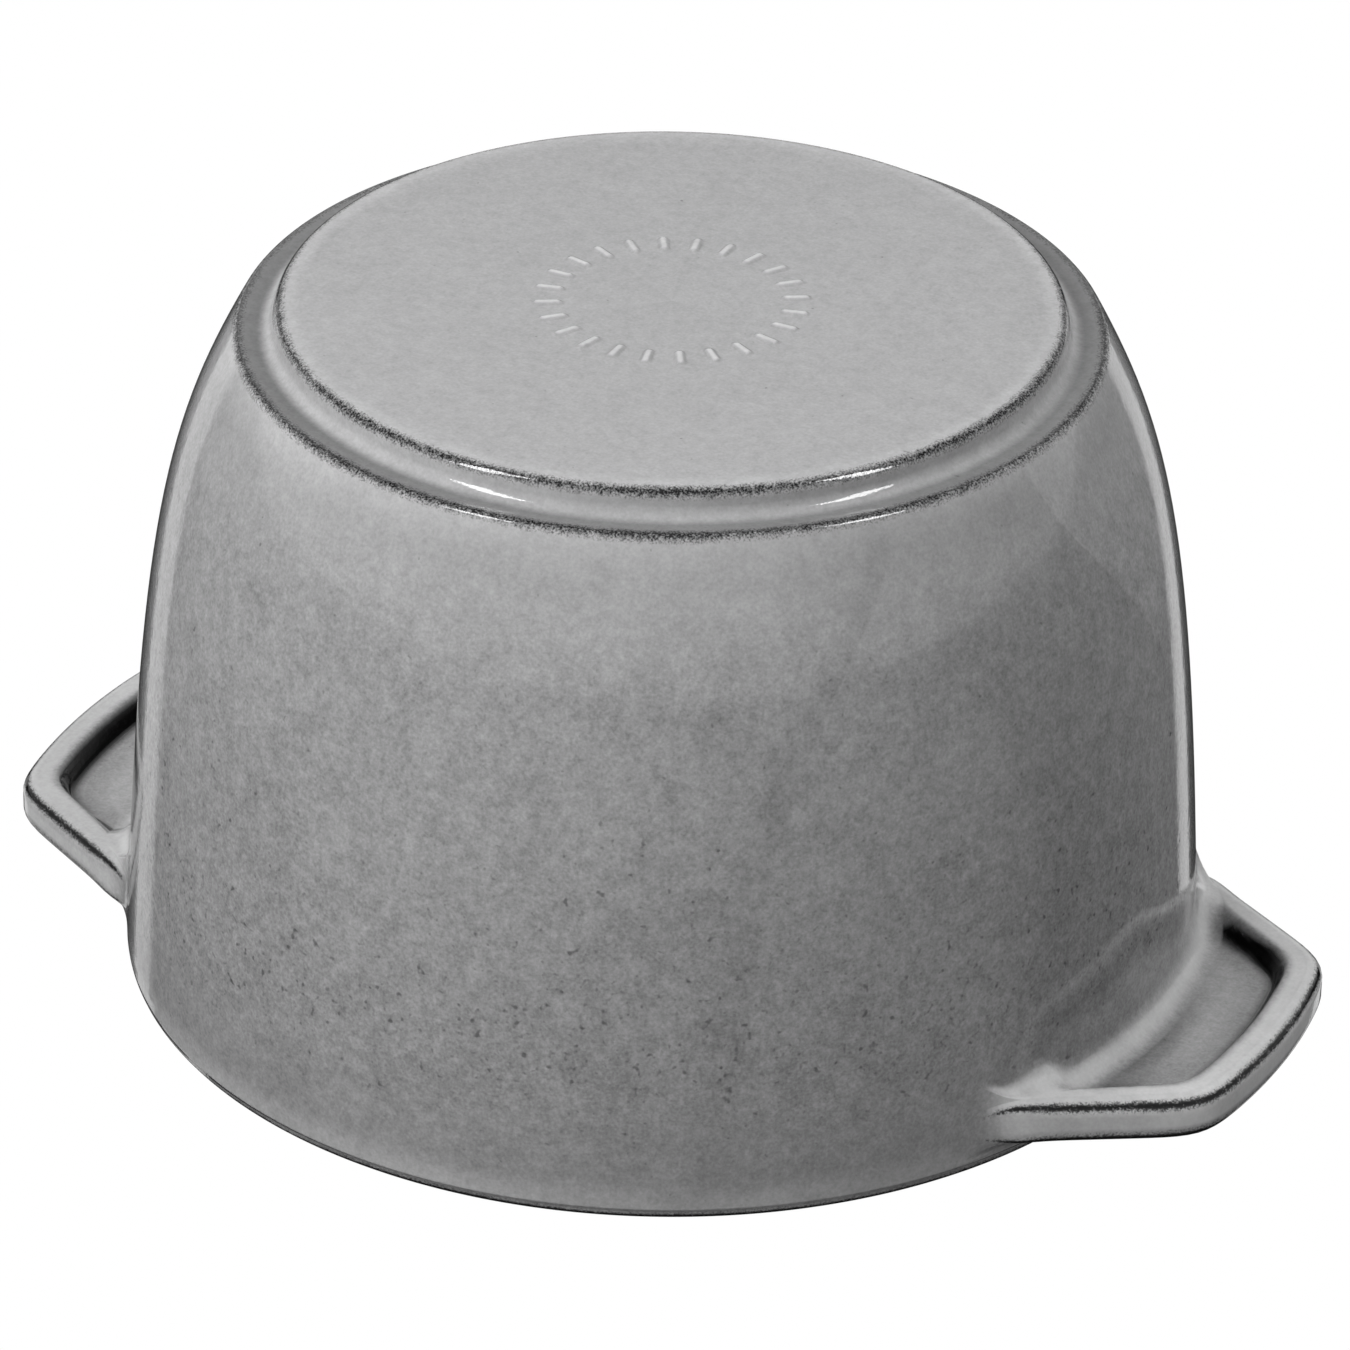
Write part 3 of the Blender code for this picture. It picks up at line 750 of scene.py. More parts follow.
def glaze_group():
    """Grey glaze: mottled and specked, paler where it pools and where light is painted, darker where it is
    thin and where shade is painted, worn through to a dark coat on the edges.
    """
    if "Grey glaze" in bpy.data.node_groups:
        return bpy.data.node_groups["Grey glaze"]
    tree, start, end = new_group("Grey glaze", "Shader", {
        "Glaze": "Color", "Pooled And Painted Light": "Color", "Iron": "Color",
        "Wear": "Float", "Pool And Painted Light": "Float", "Speck And Shade From": "Float", "Speck And Shade To": "Float",
    }, {"Colour": "Color", "Roughness": "Float", "Height": "Float", "Metal": "Float"})
    place = object_place(tree)
    clouds = noise(place, 60.0, 3.0)
    patches = noise(place, 210.0, 3.0, 0.6)
    mottle = noise(place, 620.0, 2.0, 0.6)
    grain = noise(place, 1900.0, 2.0, 0.6)
    fine = noise(place, 3200.0, 1.0)
    specks = noise(place, 980.0, 0.5)
    height = output(tree, "ShaderNodeSeparateXYZ", {0: place}, "Z")
    up = height.ranged(start["Speck And Shade From"], start["Speck And Shade To"], 0.0, 1.0)
    wear = start["Wear"]
    pool_and_painted_light = start["Pool And Painted Light"]
    thick_and_lit = pool_and_painted_light.ranged(0.0, 1.0, 0.0, 1.0)
    thin_and_shaded = pool_and_painted_light.ranged(-1.0, 0.0, 0.03, 1.0)
    calm = thick_and_lit.ranged(0.0, 0.8, 1.0, 0.35)

    base = mixed(thick_and_lit * clouds.ranged(0.35, 0.65, 0.80, 1.0), start["Glaze"], start["Pooled And Painted Light"])
    uneven = patches.ranged(0.3, 0.7, -0.09, 0.09) + clouds.ranged(0.3, 0.7, -0.04, 0.04)
    uneven = uneven + mottle.ranged(0.25, 0.75, -0.17, 0.15) + grain.ranged(0.25, 0.75, -0.21, 0.18)
    coarse = up.ranged(0.0, 0.22, 0.52, 1.08) - up.ranged(0.84, 1.0, 0.0, 0.42)
    # The glaze darkens from the foot up toward the rim, partly as a change in its tone and partly as painted
    # shade.
    tone = uneven * coarse * calm + up.ranged(0.10, 1.0, 1.09, 0.73) + thick_and_lit * 0.08
    toned = scaled(base, tone * thin_and_shaded)

    dense = up.ranged(0.15, 0.80, 0.0, 0.125) - up.ranged(0.82, 0.97, 0.0, 0.10)
    dense = dense + patches.ranged(0.3, 0.7, 0.05, -0.05)
    dark = (specks + dense - thick_and_lit * 0.15).ranged(0.78, 0.92, 0.0, 0.60)
    specked = mixed(dark, toned, start["Iron"])

    ragged = fine.ranged(0.25, 0.75, -0.42, 0.42) + clouds.ranged(0.3, 0.7, -0.15, 0.15)
    ragged = ragged + specks.ranged(0.25, 0.75, -0.12, 0.12)
    ragged = ragged * wear.ranged(0.0, 0.25, 0.0, 1.0)
    worn = (wear + ragged).ranged(0.15, 0.95, 0.0, 0.96)
    bare = worn * wear.ranged(0.6, 1.1, 0.0, 1.0)
    feed(end, {
        "Colour": mixed(worn, specked, start["Iron"]),
        "Roughness": clouds.ranged(0.3, 0.7, 0.05, 0.075),
        "Height": mottle * 0.5 + grain * 0.12 - dark * 0.10,
        "Metal": bare.largest(pool_and_painted_light.ranged(-1.0, -0.55, 1.0, 0.0)),
    })
    return tree


def turned_steel_group():
    """Turned steel: fine rings round the axis, faint smudges and small scratches."""
    if "Turned steel" in bpy.data.node_groups:
        return bpy.data.node_groups["Turned steel"]
    tree, start, end = new_group("Turned steel", "Shader", {
        "Steel": "Color", "Polish": "Float", "Ring Scale": "Float",
    }, {"Colour": "Color", "Roughness": "Float", "Height": "Float"})
    place = object_place(tree)
    split = outputs(tree, add_node(tree, "ShaderNodeSeparateXYZ", {0: place}))
    flat = output(tree, "ShaderNodeCombineXYZ", {"X": split["X"], "Y": split["Y"]})
    ring_place = output(tree, "ShaderNodeCombineXYZ", {"X": measured("LENGTH", flat), "Y": split["Z"]})
    rings = noise(ring_place, start["Ring Scale"], 3.0, 0.7)
    smudges = noise(place, 140.0, 4.0, 0.6)
    scratches = noise(place, 900.0, 2.0, 0.6)
    tone = rings.ranged(0.3, 0.7, 0.93, 1.03) + smudges.ranged(0.35, 0.7, 0.02, -0.05)
    rough = start["Polish"] + smudges.ranged(0.35, 0.7, -0.03, 0.08)
    rough = rough + scratches.ranged(0.55, 0.75, 0.0, 0.06)
    feed(end, {"Colour": scaled(start["Steel"], tone), "Roughness": rough, "Height": rings})
    return tree


def new_material(name):
    """Material with its tree and its Principled shader."""
    material = bpy.data.materials.new(name)
    material.use_nodes = True
    return material, material.node_tree, material.node_tree.nodes["Principled BSDF"]


def bumped(height, strength, depth):
    """Normal that follows a height."""
    return output(height.tree, "ShaderNodeBump", {"Strength": strength, "Distance": depth, "Height": height})


def glaze_material(name, colours, speck_and_shade_from, speck_and_shade_to):
    """Glossy grey enamel that reads the wear, and the pooled glaze with painted light and shade, on the mesh;
    painted shade darkens its outline.
    """
    material, tree, shader = new_material(name)
    made = outputs(tree, add_node(tree, "ShaderNodeGroup", {
        "Glaze": (*colours.glaze, 1.0),
        "Pooled And Painted Light": (*colours.pooled_and_painted_light, 1.0),
        "Iron": (*colours.iron, 1.0),
        "Wear": output(tree, "ShaderNodeAttribute", name="Fac", attribute_name="wear"),
        "Pool And Painted Light": output(tree, "ShaderNodeAttribute", name="Fac", attribute_name="pool_and_painted_light"),
        "Speck And Shade From": speck_and_shade_from,
        "Speck And Shade To": speck_and_shade_to,
    }, node_tree=glaze_group()))
    # Painted shade at the outline, standing in for the dark room seen in the glaze at grazing angles.
    facing = output(tree, "ShaderNodeLayerWeight", {"Blend": 0.5}, "Facing")
    feed(shader, {
        "Base Color": scaled(made["Colour"], facing.ranged(0.84, 0.95, 1.0, 0.20)),
        "Roughness": made["Roughness"],
        "Metallic": made["Metal"],
        "Normal": bumped(made["Height"], 0.25, 0.00025),
    })
    return material


def inside_material(colours):
    """Matt black enamel with a fine pebbled skin."""
    if "matt_black_enamel" in bpy.data.materials:
        return bpy.data.materials["matt_black_enamel"]
    material, tree, shader = new_material("matt_black_enamel")
    place = object_place(tree)
    pebbles = noise(place, 1700.0, 2.0, 0.6)
    clouds = noise(place, 90.0, 3.0)
    tone = pebbles.ranged(0.3, 0.7, 0.7, 1.3) + clouds.ranged(0.3, 0.7, -0.2, 0.2)
    feed(shader, {
        "Base Color": scaled(colours.inside, tone),
        "Roughness": clouds.ranged(0.3, 0.7, 0.42, 0.55),
        "Normal": bumped(pebbles, 0.45, 0.0003),
    })
    return material


def steel_material(name, steel, polish, ring_scale, bump_strength):
    """Turned steel."""
    material, tree, shader = new_material(name)
    shader.inputs["Metallic"].default_value = 1.0
    made = outputs(tree, add_node(tree, "ShaderNodeGroup", {
        "Steel": (*steel, 1.0), "Polish": polish, "Ring Scale": ring_scale,
    }, node_tree=turned_steel_group()))
    feed(shader, {
        "Base Color": made["Colour"],
        "Roughness": made["Roughness"],
        "Normal": bumped(made["Height"], bump_strength, 0.00008),
    })
    return material


class COCOTTE_OT_make_pot(bpy.types.Operator):
    """Build the enamelled pot with its two lugs"""

    bl_idname = "cocotte.make_pot"
    bl_label = "Make Pot"

    def execute(self, context):
        settings = context.scene.cocotte
        pot = settings.pot
        columns = pot.steps
        least_step = 0.0002
        wear_width = 0.00098
        foot_pool = (0.10, 0.0036, 0.06, 0.0030)
        # Before the shoulder's crest, thin glaze and painted shade on the groove's shelf; after it, a wide
        # band of painted light on the wall.
        shoulder_pool = (-0.54, 0.0050, 0.12, 0.0260)
        wall = wall_rows(pot)
        rising = wall[wall[:, 1] < LUG_ROWS_FROM - least_step][1::2]
        outline = np.concatenate([foot_rows(pot, wall), rising])
        below = glazed_rows(outline, wear_width, [foot_pool, shoulder_pool])
        lug_radii, lug_heights, lug_wear, lug_pool_and_painted_light = lug_rows(pot, wall)
        above, black_row = rim_rows(pot, wall)
        below_parts = [every_column(part, columns) for part in below.T]
        below_radii, below_heights, below_wear, below_pool_and_painted_light = below_parts
        above_radii, above_heights, above_wear = [every_column(part, columns) for part in above.T]

        relief = ridge_relief(pot, below_radii)
        raised = relief / pot.ridge_height
        # Painted light on the ridges' tops and painted shade on their sides.
        below_pool_and_painted_light = below_pool_and_painted_light + 0.40 * raised - 1.2 * raised * (1.0 - raised)
        on_wall = lug_radii <= pot.rim_radius + 1e-5
        # A band of painted light on the wall just under the rim.
        rim_light_depth, rim_light_fade = 0.0075, 0.005
        rim_painted_light = 0.35 * smooth((lug_heights - pot.height + rim_light_depth) / rim_light_fade) * on_wall
        radii = np.concatenate([below_radii, lug_radii, above_radii])
        heights = np.concatenate([below_heights - relief, lug_heights, above_heights])
        wear = np.concatenate([below_wear, lug_wear, above_wear])
        pool_and_painted_light = np.concatenate([below_pool_and_painted_light, lug_pool_and_painted_light + rim_painted_light, np.zeros_like(above_radii)])

        outside = glaze_material("grey_glaze_pot", settings.colours, speck_and_shade_from=0.004, speck_and_shade_to=0.105)
        inside = inside_material(settings.colours)
        first_black = 1 + (len(below) + len(lug_radii) + black_row - 1) * columns
        mesh = glazed_mesh("pot_body", (radii, heights, wear, pool_and_painted_light), outside, inside, first_black)
        place_piece(mesh, "pot", ["pot"])
        return {"FINISHED"}


def lid_edge(pot, lid):
    """Outer radius of the lid, of its shoulder and of its crown."""
    outer = pot.rim_radius - pot.lip_thickness - lid.clearance
    shoulder = outer - lid.flange_width
    return outer, shoulder, shoulder - lid.shoulder_round


def lid_rows(pot, lid, knob):
    """Closed outline of the lid from its bore over the crown, flange and skirt, with what goes with it.

    That is the row where black starts, the height of the lid's base, and that of its crown above the base.
    """
    outer, shoulder_radius, crown_edge = lid_edge(pot, lid)
    base = pot.height - pot.seat_depth + lid.seat_gap
    crown_top = pot.height + lid.crown_rise - base
    crown_fall = crown_top - lid.flange_thickness - lid.shoulder_rise
    skirt_outer = pot.rim_radius - pot.lip_thickness - pot.seat_width - lid.clearance
    skirt_inner = skirt_outer - lid.skirt_width
    steps = 8

    def crown(radius):
        share = max(0.0, radius - knob.foot_radius) / (crown_edge - knob.foot_radius)
        return crown_top - crown_fall * share * share

    top = [(lid.bore_radius, crown_top)]
    for radius in np.linspace(knob.foot_radius, crown_edge, 22)[:-1]:
        top.append((radius, crown(radius)))
    shoulder_z = crown(crown_edge) - lid.shoulder_rise * 0.12
    glazed_edge = [
        (shoulder_radius - lid.shoulder_round * 0.4, shoulder_z, lid.shoulder_round, 0.85),
        (shoulder_radius + lid.shoulder_rise * 0.2, lid.flange_thickness, lid.shoulder_round * 0.5),
        (outer, lid.flange_thickness, lid.edge_round, 0.9),
        (outer, 0.0, lid.edge_round, 0.9),
    ]
    skirt = [
        (skirt_outer, 0.0, lid.edge_round * 0.4),
        (skirt_outer, -lid.skirt_depth, lid.edge_round),
        (skirt_inner, -lid.skirt_depth, lid.edge_round),
    ]
    under = []
    for radius in np.linspace(skirt_inner - lid.shoulder_round, knob.foot_radius, 20):
        under.append((radius, crown(radius) - lid.thickness))
    under[0] = (*under[0], lid.shoulder_round)
    under.append((lid.bore_radius, crown_top - lid.thickness))
    rows = soft_outline(top + glazed_edge + skirt + under, steps)
    rows[:, 1] += base
    black = len(top) + len(glazed_edge) * (steps + 1)
    wear_width = 0.0008
    shoulder_pool = (0.4, 0.0060, 0.2, 0.0040)
    no_pool = (0.0, 0.0010, 0.0, 0.0010)
    outside = glazed_rows(rows[:black], wear_width, [shoulder_pool, no_pool, no_pool])
    inside = np.column_stack([rows[black:], np.zeros(len(rows) - black)])
    return np.concatenate([outside, inside]), len(outside), base, crown_top


def drip_bump_tree():
    """Rings of round bumps that follow the crown's underside."""
    sockets = {"Geometry": "Geometry", "Rings": "Int", "Bumps": "Int", "Enamel": "Material"}
    for label in ("Ring Step", "Bump Radius", "Bump Height"):
        sockets[label] = "Float"
    for label in ("Crown Height", "Crown Fall", "Crown Start", "Crown Edge"):
        sockets[label] = "Float"
    tree, start, end = new_group("Drip bumps", "Geometry", sockets, {"Geometry": "Geometry"})

    number = output(tree, "GeometryNodeInputIndex") + 1.0
    line = output(tree, "GeometryNodeMeshLine", {"Count": start["Rings"]})
    numbered = add_node(tree, "GeometryNodeCaptureAttribute", {"Geometry": line}, domain="POINT")
    numbered.capture_items.new("FLOAT", "Ring")
    feed(numbered, {"Ring": number})
    numbered = outputs(tree, numbered)
    points = outputs(tree, add_node(tree, "GeometryNodeDuplicateElements", {
        "Geometry": numbered["Geometry"], "Amount": number * start["Bumps"],
    }, domain="POINT"))
    ring = numbered["Ring"]
    turned = (points["Duplicate Index"] + 0.5) / (ring * start["Bumps"]) * math.tau
    radius = ring * start["Ring Step"]
    past = (radius - start["Crown Start"]) / (start["Crown Edge"] - start["Crown Start"])
    place = output(tree, "ShaderNodeCombineXYZ", {
        "X": radius * turned.math("COSINE", turned),
        "Y": radius * turned.math("SINE", turned),
        "Z": start["Crown Height"] - past * past * start["Crown Fall"],
    })
    placed = output(tree, "GeometryNodeSetPosition", {"Geometry": points["Geometry"], "Position": place})
    ball = output(tree, "GeometryNodeMeshUVSphere", {"Segments": 18, "Rings": 12, "Radius": 1.0})
    soft = output(tree, "GeometryNodeSetShadeSmooth", {"Geometry": ball})
    scale = output(tree, "ShaderNodeCombineXYZ", {
        "X": start["Bump Radius"], "Y": start["Bump Radius"], "Z": start["Bump Height"],
    })
    bumps = output(tree, "GeometryNodeInstanceOnPoints", {"Points": placed, "Instance": soft, "Scale": scale})
    real = output(tree, "GeometryNodeRealizeInstances", {"Geometry": bumps})
    feed(end, {
        "Geometry": output(tree, "GeometryNodeSetMaterial", {"Geometry": real, "Material": start["Enamel"]}),
    })
    return tree


def mesh_from_tree(name, tree, values):
    """Plain mesh made by a Geometry Nodes tree with the given inputs."""
    holder = link_object(name, bpy.data.meshes.new(name + "_start"))
    modifier = holder.modifiers.new(tree.name, "NODES")
    modifier.node_group = tree
    for item in tree.interface.items_tree:
        if item.in_out == "INPUT" and item.name in values:
            modifier[item.identifier] = values[item.name]
    return evaluated_mesh(holder, name)


class COCOTTE_OT_make_lid(bpy.types.Operator):
    """Build the enamelled lid and the drip bumps underneath it"""

    bl_idname = "cocotte.make_lid"
    bl_label = "Make Lid"

    def execute(self, context):
        settings = context.scene.cocotte
        pot, lid, knob = settings.pot, settings.lid, settings.knob
        inside = inside_material(settings.colours)
        rows, black_row, base, crown_top = lid_rows(pot, lid, knob)
        parts = [every_column(part, lid.steps) for part in rows.T]
        outside = glaze_material("grey_glaze_lid", settings.colours, speck_and_shade_from=0.040, speck_and_shade_to=0.150)
        mesh = glazed_mesh("lid_body", parts, outside, inside, black_row * lid.steps)
        place_piece(mesh, "lid", ["lid"])

        bumps = mesh_from_tree("lid_drip_bumps", drip_bump_tree(), {
            "Rings": lid.bump_rings,
            "Bumps": lid.bumps_per_ring,
            "Ring Step": lid.bump_ring_step,
            "Bump Radius": lid.bump_radius,
            "Bump Height": lid.bump_height,
            "Crown Height": base + crown_top - lid.thickness,
            "Crown Fall": crown_top - lid.flange_thickness - lid.shoulder_rise,
            "Crown Start": knob.foot_radius,
            "Crown Edge": lid_edge(pot, lid)[2],
            "Enamel": inside,
        })
        place_piece(bumps, "lid", [])
        return {"FINISHED"}


class COCOTTE_OT_make_knob(bpy.types.Operator):
    """Build the turned knob on the lid"""

    bl_idname = "cocotte.make_knob"
    bl_label = "Make Knob"

    def execute(self, context):
        settings = context.scene.cocotte
        pot, lid, knob = settings.pot, settings.lid, settings.knob
        base = pot.height + lid.crown_rise + lid.seat_gap
        top = base + knob.height
        head = top - knob.head_height
        bore_end = base + knob.screw_grip
        crown = []
        for share in np.linspace(0.0, 0.82, 14):
            crown.append((knob.radius * share, top - knob.crown * share**2))
        mesh = plain_mesh("knob_turned", soft_outline(crown + [
            (knob.radius, top - knob.crown, knob.edge_round),
            (knob.radius * 0.94, head, knob.edge_round),
            (knob.neck_radius, head - knob.edge_round * 0.6, knob.edge_round * 0.7),
            (knob.neck_radius, base + knob.foot_height, knob.edge_round * 0.5),
            (knob.foot_radius, base + knob.foot_height, knob.foot_height * 0.4),
            (knob.foot_radius, base),
            (lid.bore_radius, base),
            (lid.bore_radius, bore_end),
            (0.0, bore_end + lid.bore_radius * 0.5),
        ], 10), knob.steps)
        steel = settings.colours.knob
        mesh.materials.append(steel_material("polished_steel", steel, 0.16, 2600.0, 0.10))
        finish_mesh(mesh, 50.0)
        place_piece(mesh, "lid", ["knob"])
        return {"FINISHED"}


def slotted(blank, knob, head_bottom, name):
    """Mesh of a screw with a slot cut across its head."""
    cutter_mesh = bpy.data.meshes.new("slot_cutter")
    builder = bmesh.new()
    bmesh.ops.create_cube(builder, size=1.0)
    size = (knob.screw_head_radius * 2.4, knob.slot_width, knob.slot_depth * 2.0)
    bmesh.ops.scale(builder, verts=builder.verts, vec=size)
    bmesh.ops.translate(builder, verts=builder.verts, vec=(0.0, 0.0, head_bottom))
    builder.to_mesh(cutter_mesh)
    builder.free()
    screw = link_object(blank.name, blank)
    cutter = link_object("slot_cutter", cutter_mesh)
    slot = screw.modifiers.new("slot", "BOOLEAN")
    slot.operation = "DIFFERENCE"
    slot.solver = "EXACT"
    slot.object = cutter
    mesh = evaluated_mesh(screw, name)
    bpy.data.objects.remove(cutter, do_unlink=True)
    mesh.materials.clear()
    return mesh


class COCOTTE_OT_make_fasteners(bpy.types.Operator):
    """Build the knob's screw and its washer under the lid"""

    bl_idname = "cocotte.make_fasteners"
    bl_label = "Make Screw and Washer"

    def execute(self, context):
        settings = context.scene.cocotte
        pot, lid, knob = settings.pot, settings.lid, settings.knob
        steel = settings.colours.fastener
        crown = pot.height + lid.crown_rise
        washer_top = crown - lid.thickness - lid.seat_gap
        washer_bottom = washer_top - knob.washer_thickness
        soft = knob.washer_thickness * 0.22
        washer = plain_mesh("washer_steel", soft_outline([
            (lid.bore_radius, washer_bottom),
            (lid.bore_radius, washer_top),
            (knob.washer_radius, washer_top, soft),
            (knob.washer_radius, washer_bottom, soft),
            (lid.bore_radius + soft, washer_bottom),
        ], 5), FASTENER_STEPS)
        washer.materials.append(steel_material("washer_steel", steel, 0.34, 4200.0, 0.18))
        finish_mesh(washer, 40.0)
        place_piece(washer, "lid", ["knob_washer"])

        head_top = washer_bottom - lid.seat_gap
        head_bottom = head_top - knob.screw_head_height
        end = crown + knob.screw_grip
        blank = plain_mesh("screw_blank", soft_outline([
            (0.0, end),
            (knob.screw_radius * 0.75, end),
            (knob.screw_radius, end - knob.screw_radius * 0.3),
            (knob.screw_radius, head_top),
            (knob.screw_head_radius, head_top),
            (knob.screw_head_radius, head_bottom, knob.screw_head_height * 0.45),
            (0.0, head_bottom),
        ], 6), FASTENER_STEPS)
        finish_mesh(blank)
        screw = slotted(blank, knob, head_bottom, "screw_slotted")
        screw.materials.append(steel_material("screw_steel", steel, 0.30, 3600.0, 0.15))
        screw.shade_smooth()
        screw.set_sharp_from_angle(angle=math.radians(35.0))
        place_piece(screw, "lid", ["knob_screw"])
        return {"FINISHED"}


def floor_material(stage_colour, towards):
    """Pale floor, white far off, solid from above, and clear from below and right under the pot.

    Beside the foot, reflections look through it only on the camera's side, for the two sharp highlights.
    """
    material, tree, shader = new_material("pale_floor")
    place = object_place(tree)
    path = outputs(tree, tree.nodes.new("ShaderNodeLightPath"))
    camera, glossy, reach = path["Is Camera Ray"], path["Is Glossy Ray"], path["Ray Length"]
    behind = output(tree, "ShaderNodeNewGeometry", name="Backfacing")
    far = measured("LENGTH", place)
    cloudy = noise(place, 3.0, 3.0).ranged(0.3, 0.7, 0.985, 1.0)
    contact_shade = far.ranged(0.060, 0.085, 0.35, 1.0)
    feed(shader, {"Base Color": scaled(stage_colour, cloudy * contact_shade)})
    shader.inputs["Roughness"].default_value = 0.9
    shader.inputs["Specular IOR Level"].default_value = 0.0

    along = measured("DOT_PRODUCT", place, towards) / far
    window = along.ranged(0.70, 0.74, 0.0, 1.0) * along.ranged(0.972, 0.985, 1.0, 0.0)
    shut = glossy * (1.0 - window)
    plain_reach, glossy_reach, touching = 0.012, 0.0095, 0.0023
    close = (reach < glossy.ranged(0.0, 1.0, plain_reach, glossy_reach)) * (1.0 - shut)
    close = close.largest(reach < touching)
    clear = behind.largest(close * (1.0 - camera))
    seen = camera.largest(glossy).largest(path["Is Transmission Ray"])
    lifted = seen * far.ranged(0.15, 1.00, 0.30, 1.00)
    fading = far.ranged(0.2, 1.9, 0.0, 0.96, "SMOOTHSTEP")
    white = output(tree, "ShaderNodeEmission", {"Strength": 1.0 - fading * glossy})
    top = output(tree, "ShaderNodeMixShader", {0: lifted, 1: Output(tree, shader.outputs[0]), 2: white})
    through = output(tree, "ShaderNodeBsdfTransparent")
    feed(tree.nodes["Material Output"], {
        "Surface": output(tree, "ShaderNodeMixShader", {0: clear, 1: top, 2: through}),
    })
    return material


def place_floor(material):
    """Large flat floor just under the foot, which casts no shadow."""
    half = 6.0
    corners = [(-half, -half, 0.0), (half, -half, 0.0), (half, half, 0.0), (-half, half, 0.0)]
    mesh = bpy.data.meshes.new("studio_floor")
    mesh.from_pydata(corners, [], [(0, 1, 2, 3)])
    mesh.materials.append(material)
    floor = link_object("studio_floor", mesh)
    floor.location.z = -FLOOR_DROP
    floor.visible_shadow = False


def place_camera(stage, rim_height):
    """Camera that looks up at the pot from under the floor, turned over."""
    forward = Vector((
        math.sin(stage.camera_yaw) * math.cos(stage.camera_pitch),
        math.cos(stage.camera_yaw) * math.cos(stage.camera_pitch),
        -math.sin(stage.camera_pitch),
    ))
    right = forward.cross(Vector((0.0, 0.0, 1.0))).normalized()
    up = right.cross(forward)
    rolled_right = right * math.cos(stage.camera_roll) + up * math.sin(stage.camera_roll)
    rolled_up = up * math.cos(stage.camera_roll) - right * math.sin(stage.camera_roll)
    turned_over = Matrix.Rotation(-stage.camera_turn, 3, "Z") @ Matrix.Diagonal((1.0, -1.0, -1.0))
    place = turned_over @ Vector((0.0, -stage.camera_distance, stage.camera_drop))
    place.z += rim_height
    axes = Matrix([turned_over @ rolled_right, turned_over @ rolled_up, turned_over @ -forward]).transposed()
    lens = bpy.data.cameras.new("photo_camera")
    lens.sensor_width = 36.0
    lens.lens = stage.camera_lens
    camera = link_object("photo_camera", lens)
    camera.matrix_world = Matrix.Translation(place) @ axes.to_4x4()
    bpy.context.scene.camera = camera


def soft_lamp(name, place, aim, width, height, brightness, mirrored, lights):
    """Rectangular lamp, unseen by the camera, that shows in reflections, gives light, or both."""
    lamp = bpy.data.lights.new(name, "AREA")
    lamp.shape = "RECTANGLE"
    lamp.size = width
    lamp.size_y = height
    lamp.energy = brightness * math.pi * width * height
    item = link_object(name, lamp)
    item.location = place
    item.rotation_euler = (aim - place).to_track_quat("-Z", "Y").to_euler()
    item.visible_camera = False
    item.visible_glossy = mirrored
    item.visible_diffuse = lights


def place_lamps(stage, towards):
    """All the lamps, by their turn in degrees from the camera's side, distance from the axis and height."""
    middle = Vector((0.0, 0.0, 0.05))
    level = Vector((0.0, 0.0, 0.60))
    lights = (False, True)
    shows = (True, False)
    both = (True, True)
    right_key = stage.key_light * 0.61
    right_strip = stage.strip_light * 1.2
    for name, degrees, distance, height, aim, width, tall, brightness, use in (
        ("foot_lamp", 105.0, 0.60, -0.95, middle, 1.5, 1.5, stage.foot_light, lights),
        ("key_lamp_left", 50.0, 0.88, -0.72, middle, 0.70, 0.70, stage.key_light, lights),
        ("key_lamp_right", -105.0, 0.92, -0.62, middle, 0.70, 0.70, right_key, lights),
        ("glint_lamp_left", 57.0, 0.80, -0.64, middle, 0.19, 0.56, stage.glint_light, shows),
        ("glint_lamp_right", -60.0, 0.80, -0.64, middle, 0.19, 0.56, stage.glint_light, shows),
        ("strip_lamp_left", 143.9, 1.10, 0.60, level, 0.266, 1.10, stage.strip_light, both),
        ("strip_lamp_right", -147.9, 1.10, 0.60, level, 0.207, 1.10, right_strip, both),
        ("top_lamp", 60.0, 0.30, 1.40, middle, 1.6, 1.6, stage.top_light, lights),
        ("back_lamp", 180.0, 1.20, 0.90, middle, 1.2, 1.2, stage.back_light, lights),
    ):
        place = Matrix.Rotation(math.radians(degrees), 3, "Z") @ towards * distance
        place.z = height
        soft_lamp(name, place, aim, width, tall, brightness, *use)


def make_world(stage, towards):
    """White to the camera, weak fill on the object, and in reflections a dark cloth, a sky and a table."""
    world = bpy.data.worlds.new("studio_world")
    world.use_nodes = True
    bpy.context.scene.world = world
    tree = world.node_tree
    tree.nodes.clear()
    path = outputs(tree, tree.nodes.new("ShaderNodeLightPath"))
    way = output(tree, "ShaderNodeTexCoord", name="Generated")
    rise = output(tree, "ShaderNodeSeparateXYZ", {0: way}, "Z")
    facing = measured("DOT_PRODUCT", way, towards)
    table = facing.ranged(-0.45, 0.25, stage.table * 0.35, stage.table)
    cloth = rise.ranged(-0.20, -0.02, table, stage.gloom)
    sky = facing.ranged(-0.05, 0.30, 0.0, 1.0) * rise.ranged(0.0, 0.30, 0.0, stage.sky)
    mirrored = cloth.largest(sky) * path["Is Glossy Ray"]
    fill = rise.ranged(-0.15, 0.25, stage.low_fill, stage.high_fill) * path["Is Diffuse Ray"]
    seen = path["Is Camera Ray"].largest(path["Is Transmission Ray"])
    strength = seen.largest(mirrored).largest(fill)
    white = (1.0, 1.0, 1.0, 1.0)
    feed(tree.nodes.new("ShaderNodeOutputWorld"), {
        "Surface": output(tree, "ShaderNodeBackground", {"Color": white, "Strength": strength}),
    })


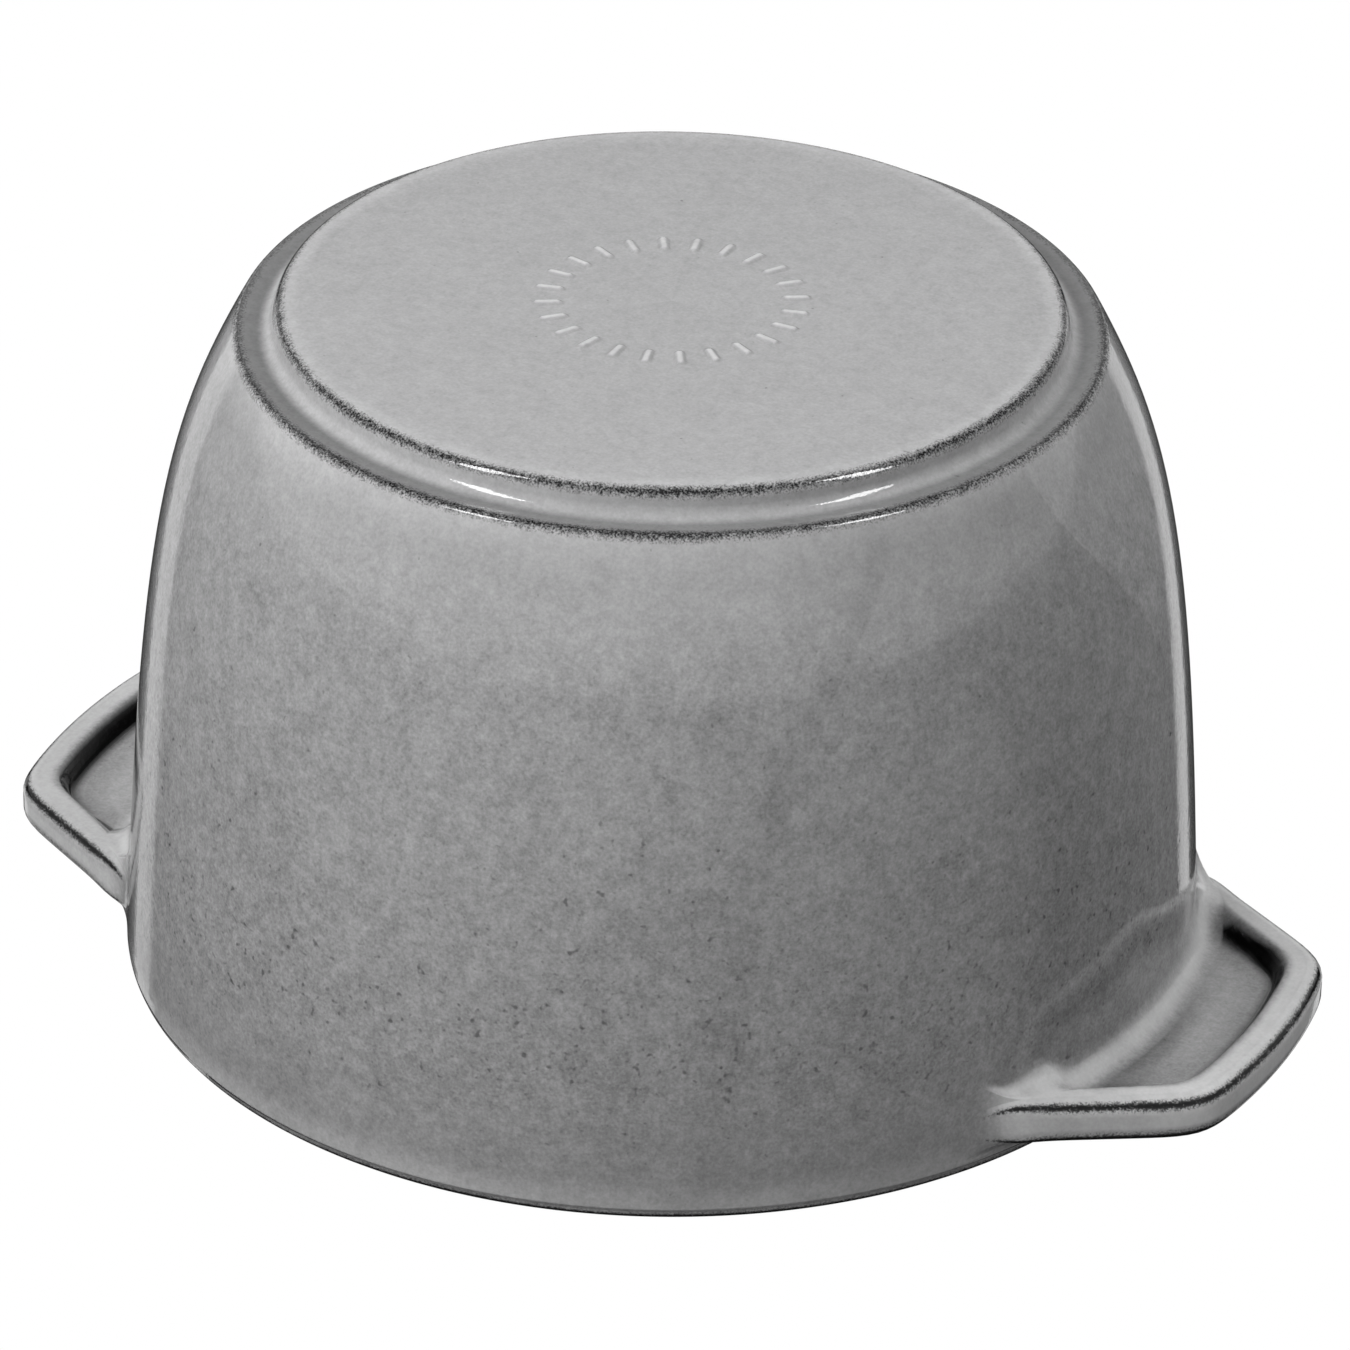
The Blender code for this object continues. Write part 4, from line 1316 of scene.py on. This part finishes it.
class COCOTTE_OT_make_stage(bpy.types.Operator):
    """Set up the floor, the lamps, the world and the camera"""

    bl_idname = "cocotte.make_stage"
    bl_label = "Make Stage"

    def execute(self, context):
        settings = context.scene.cocotte
        stage = settings.stage
        context.scene.view_settings.view_transform = "Standard"
        towards = Vector((math.sin(stage.camera_turn), math.cos(stage.camera_turn), 0.0))
        place_camera(stage, settings.pot.height)
        place_floor(floor_material(settings.colours.floor, towards))
        place_lamps(stage, towards)
        make_world(stage, towards)
        return {"FINISHED"}


OPERATORS = (
    COCOTTE_OT_make_pot,
    COCOTTE_OT_make_lid,
    COCOTTE_OT_make_knob,
    COCOTTE_OT_make_fasteners,
    COCOTTE_OT_make_stage,
)


class COCOTTE_PT_panel(bpy.types.Panel):
    """Sidebar panel with the cocotte's operators and settings"""

    bl_idname = "COCOTTE_PT_panel"
    bl_label = "Rice Cocotte"
    bl_space_type = "VIEW_3D"
    bl_region_type = "UI"
    bl_category = "Cocotte"

    def draw(self, context):
        layout = self.layout
        for operator in OPERATORS:
            layout.operator(operator.bl_idname)
        for title in ("pot", "lid", "knob", "colours", "stage"):
            group = getattr(context.scene.cocotte, title)
            box = layout.box()
            box.label(text=title.capitalize())
            for name in group.bl_rna.properties.keys():
                if name not in ("rna_type", "name"):
                    box.prop(group, name)


CLASSES = (
    CocottePotSizes,
    CocotteLidSizes,
    CocotteKnobSizes,
    CocotteColours,
    CocotteStage,
    CocotteSettings,
    *OPERATORS,
    COCOTTE_PT_panel,
)


def register():
    for item in CLASSES:
        bpy.utils.register_class(item)
    bpy.types.Scene.cocotte = PointerProperty(type=CocotteSettings)


def unregister():
    del bpy.types.Scene.cocotte
    for item in reversed(CLASSES):
        bpy.utils.unregister_class(item)


def main():
    """Builds every piece and the stage."""
    register()
    bpy.ops.cocotte.make_pot()
    bpy.ops.cocotte.make_lid()
    bpy.ops.cocotte.make_knob()
    bpy.ops.cocotte.make_fasteners()
    bpy.ops.cocotte.make_stage()


if __name__ == "__main__":
    main()
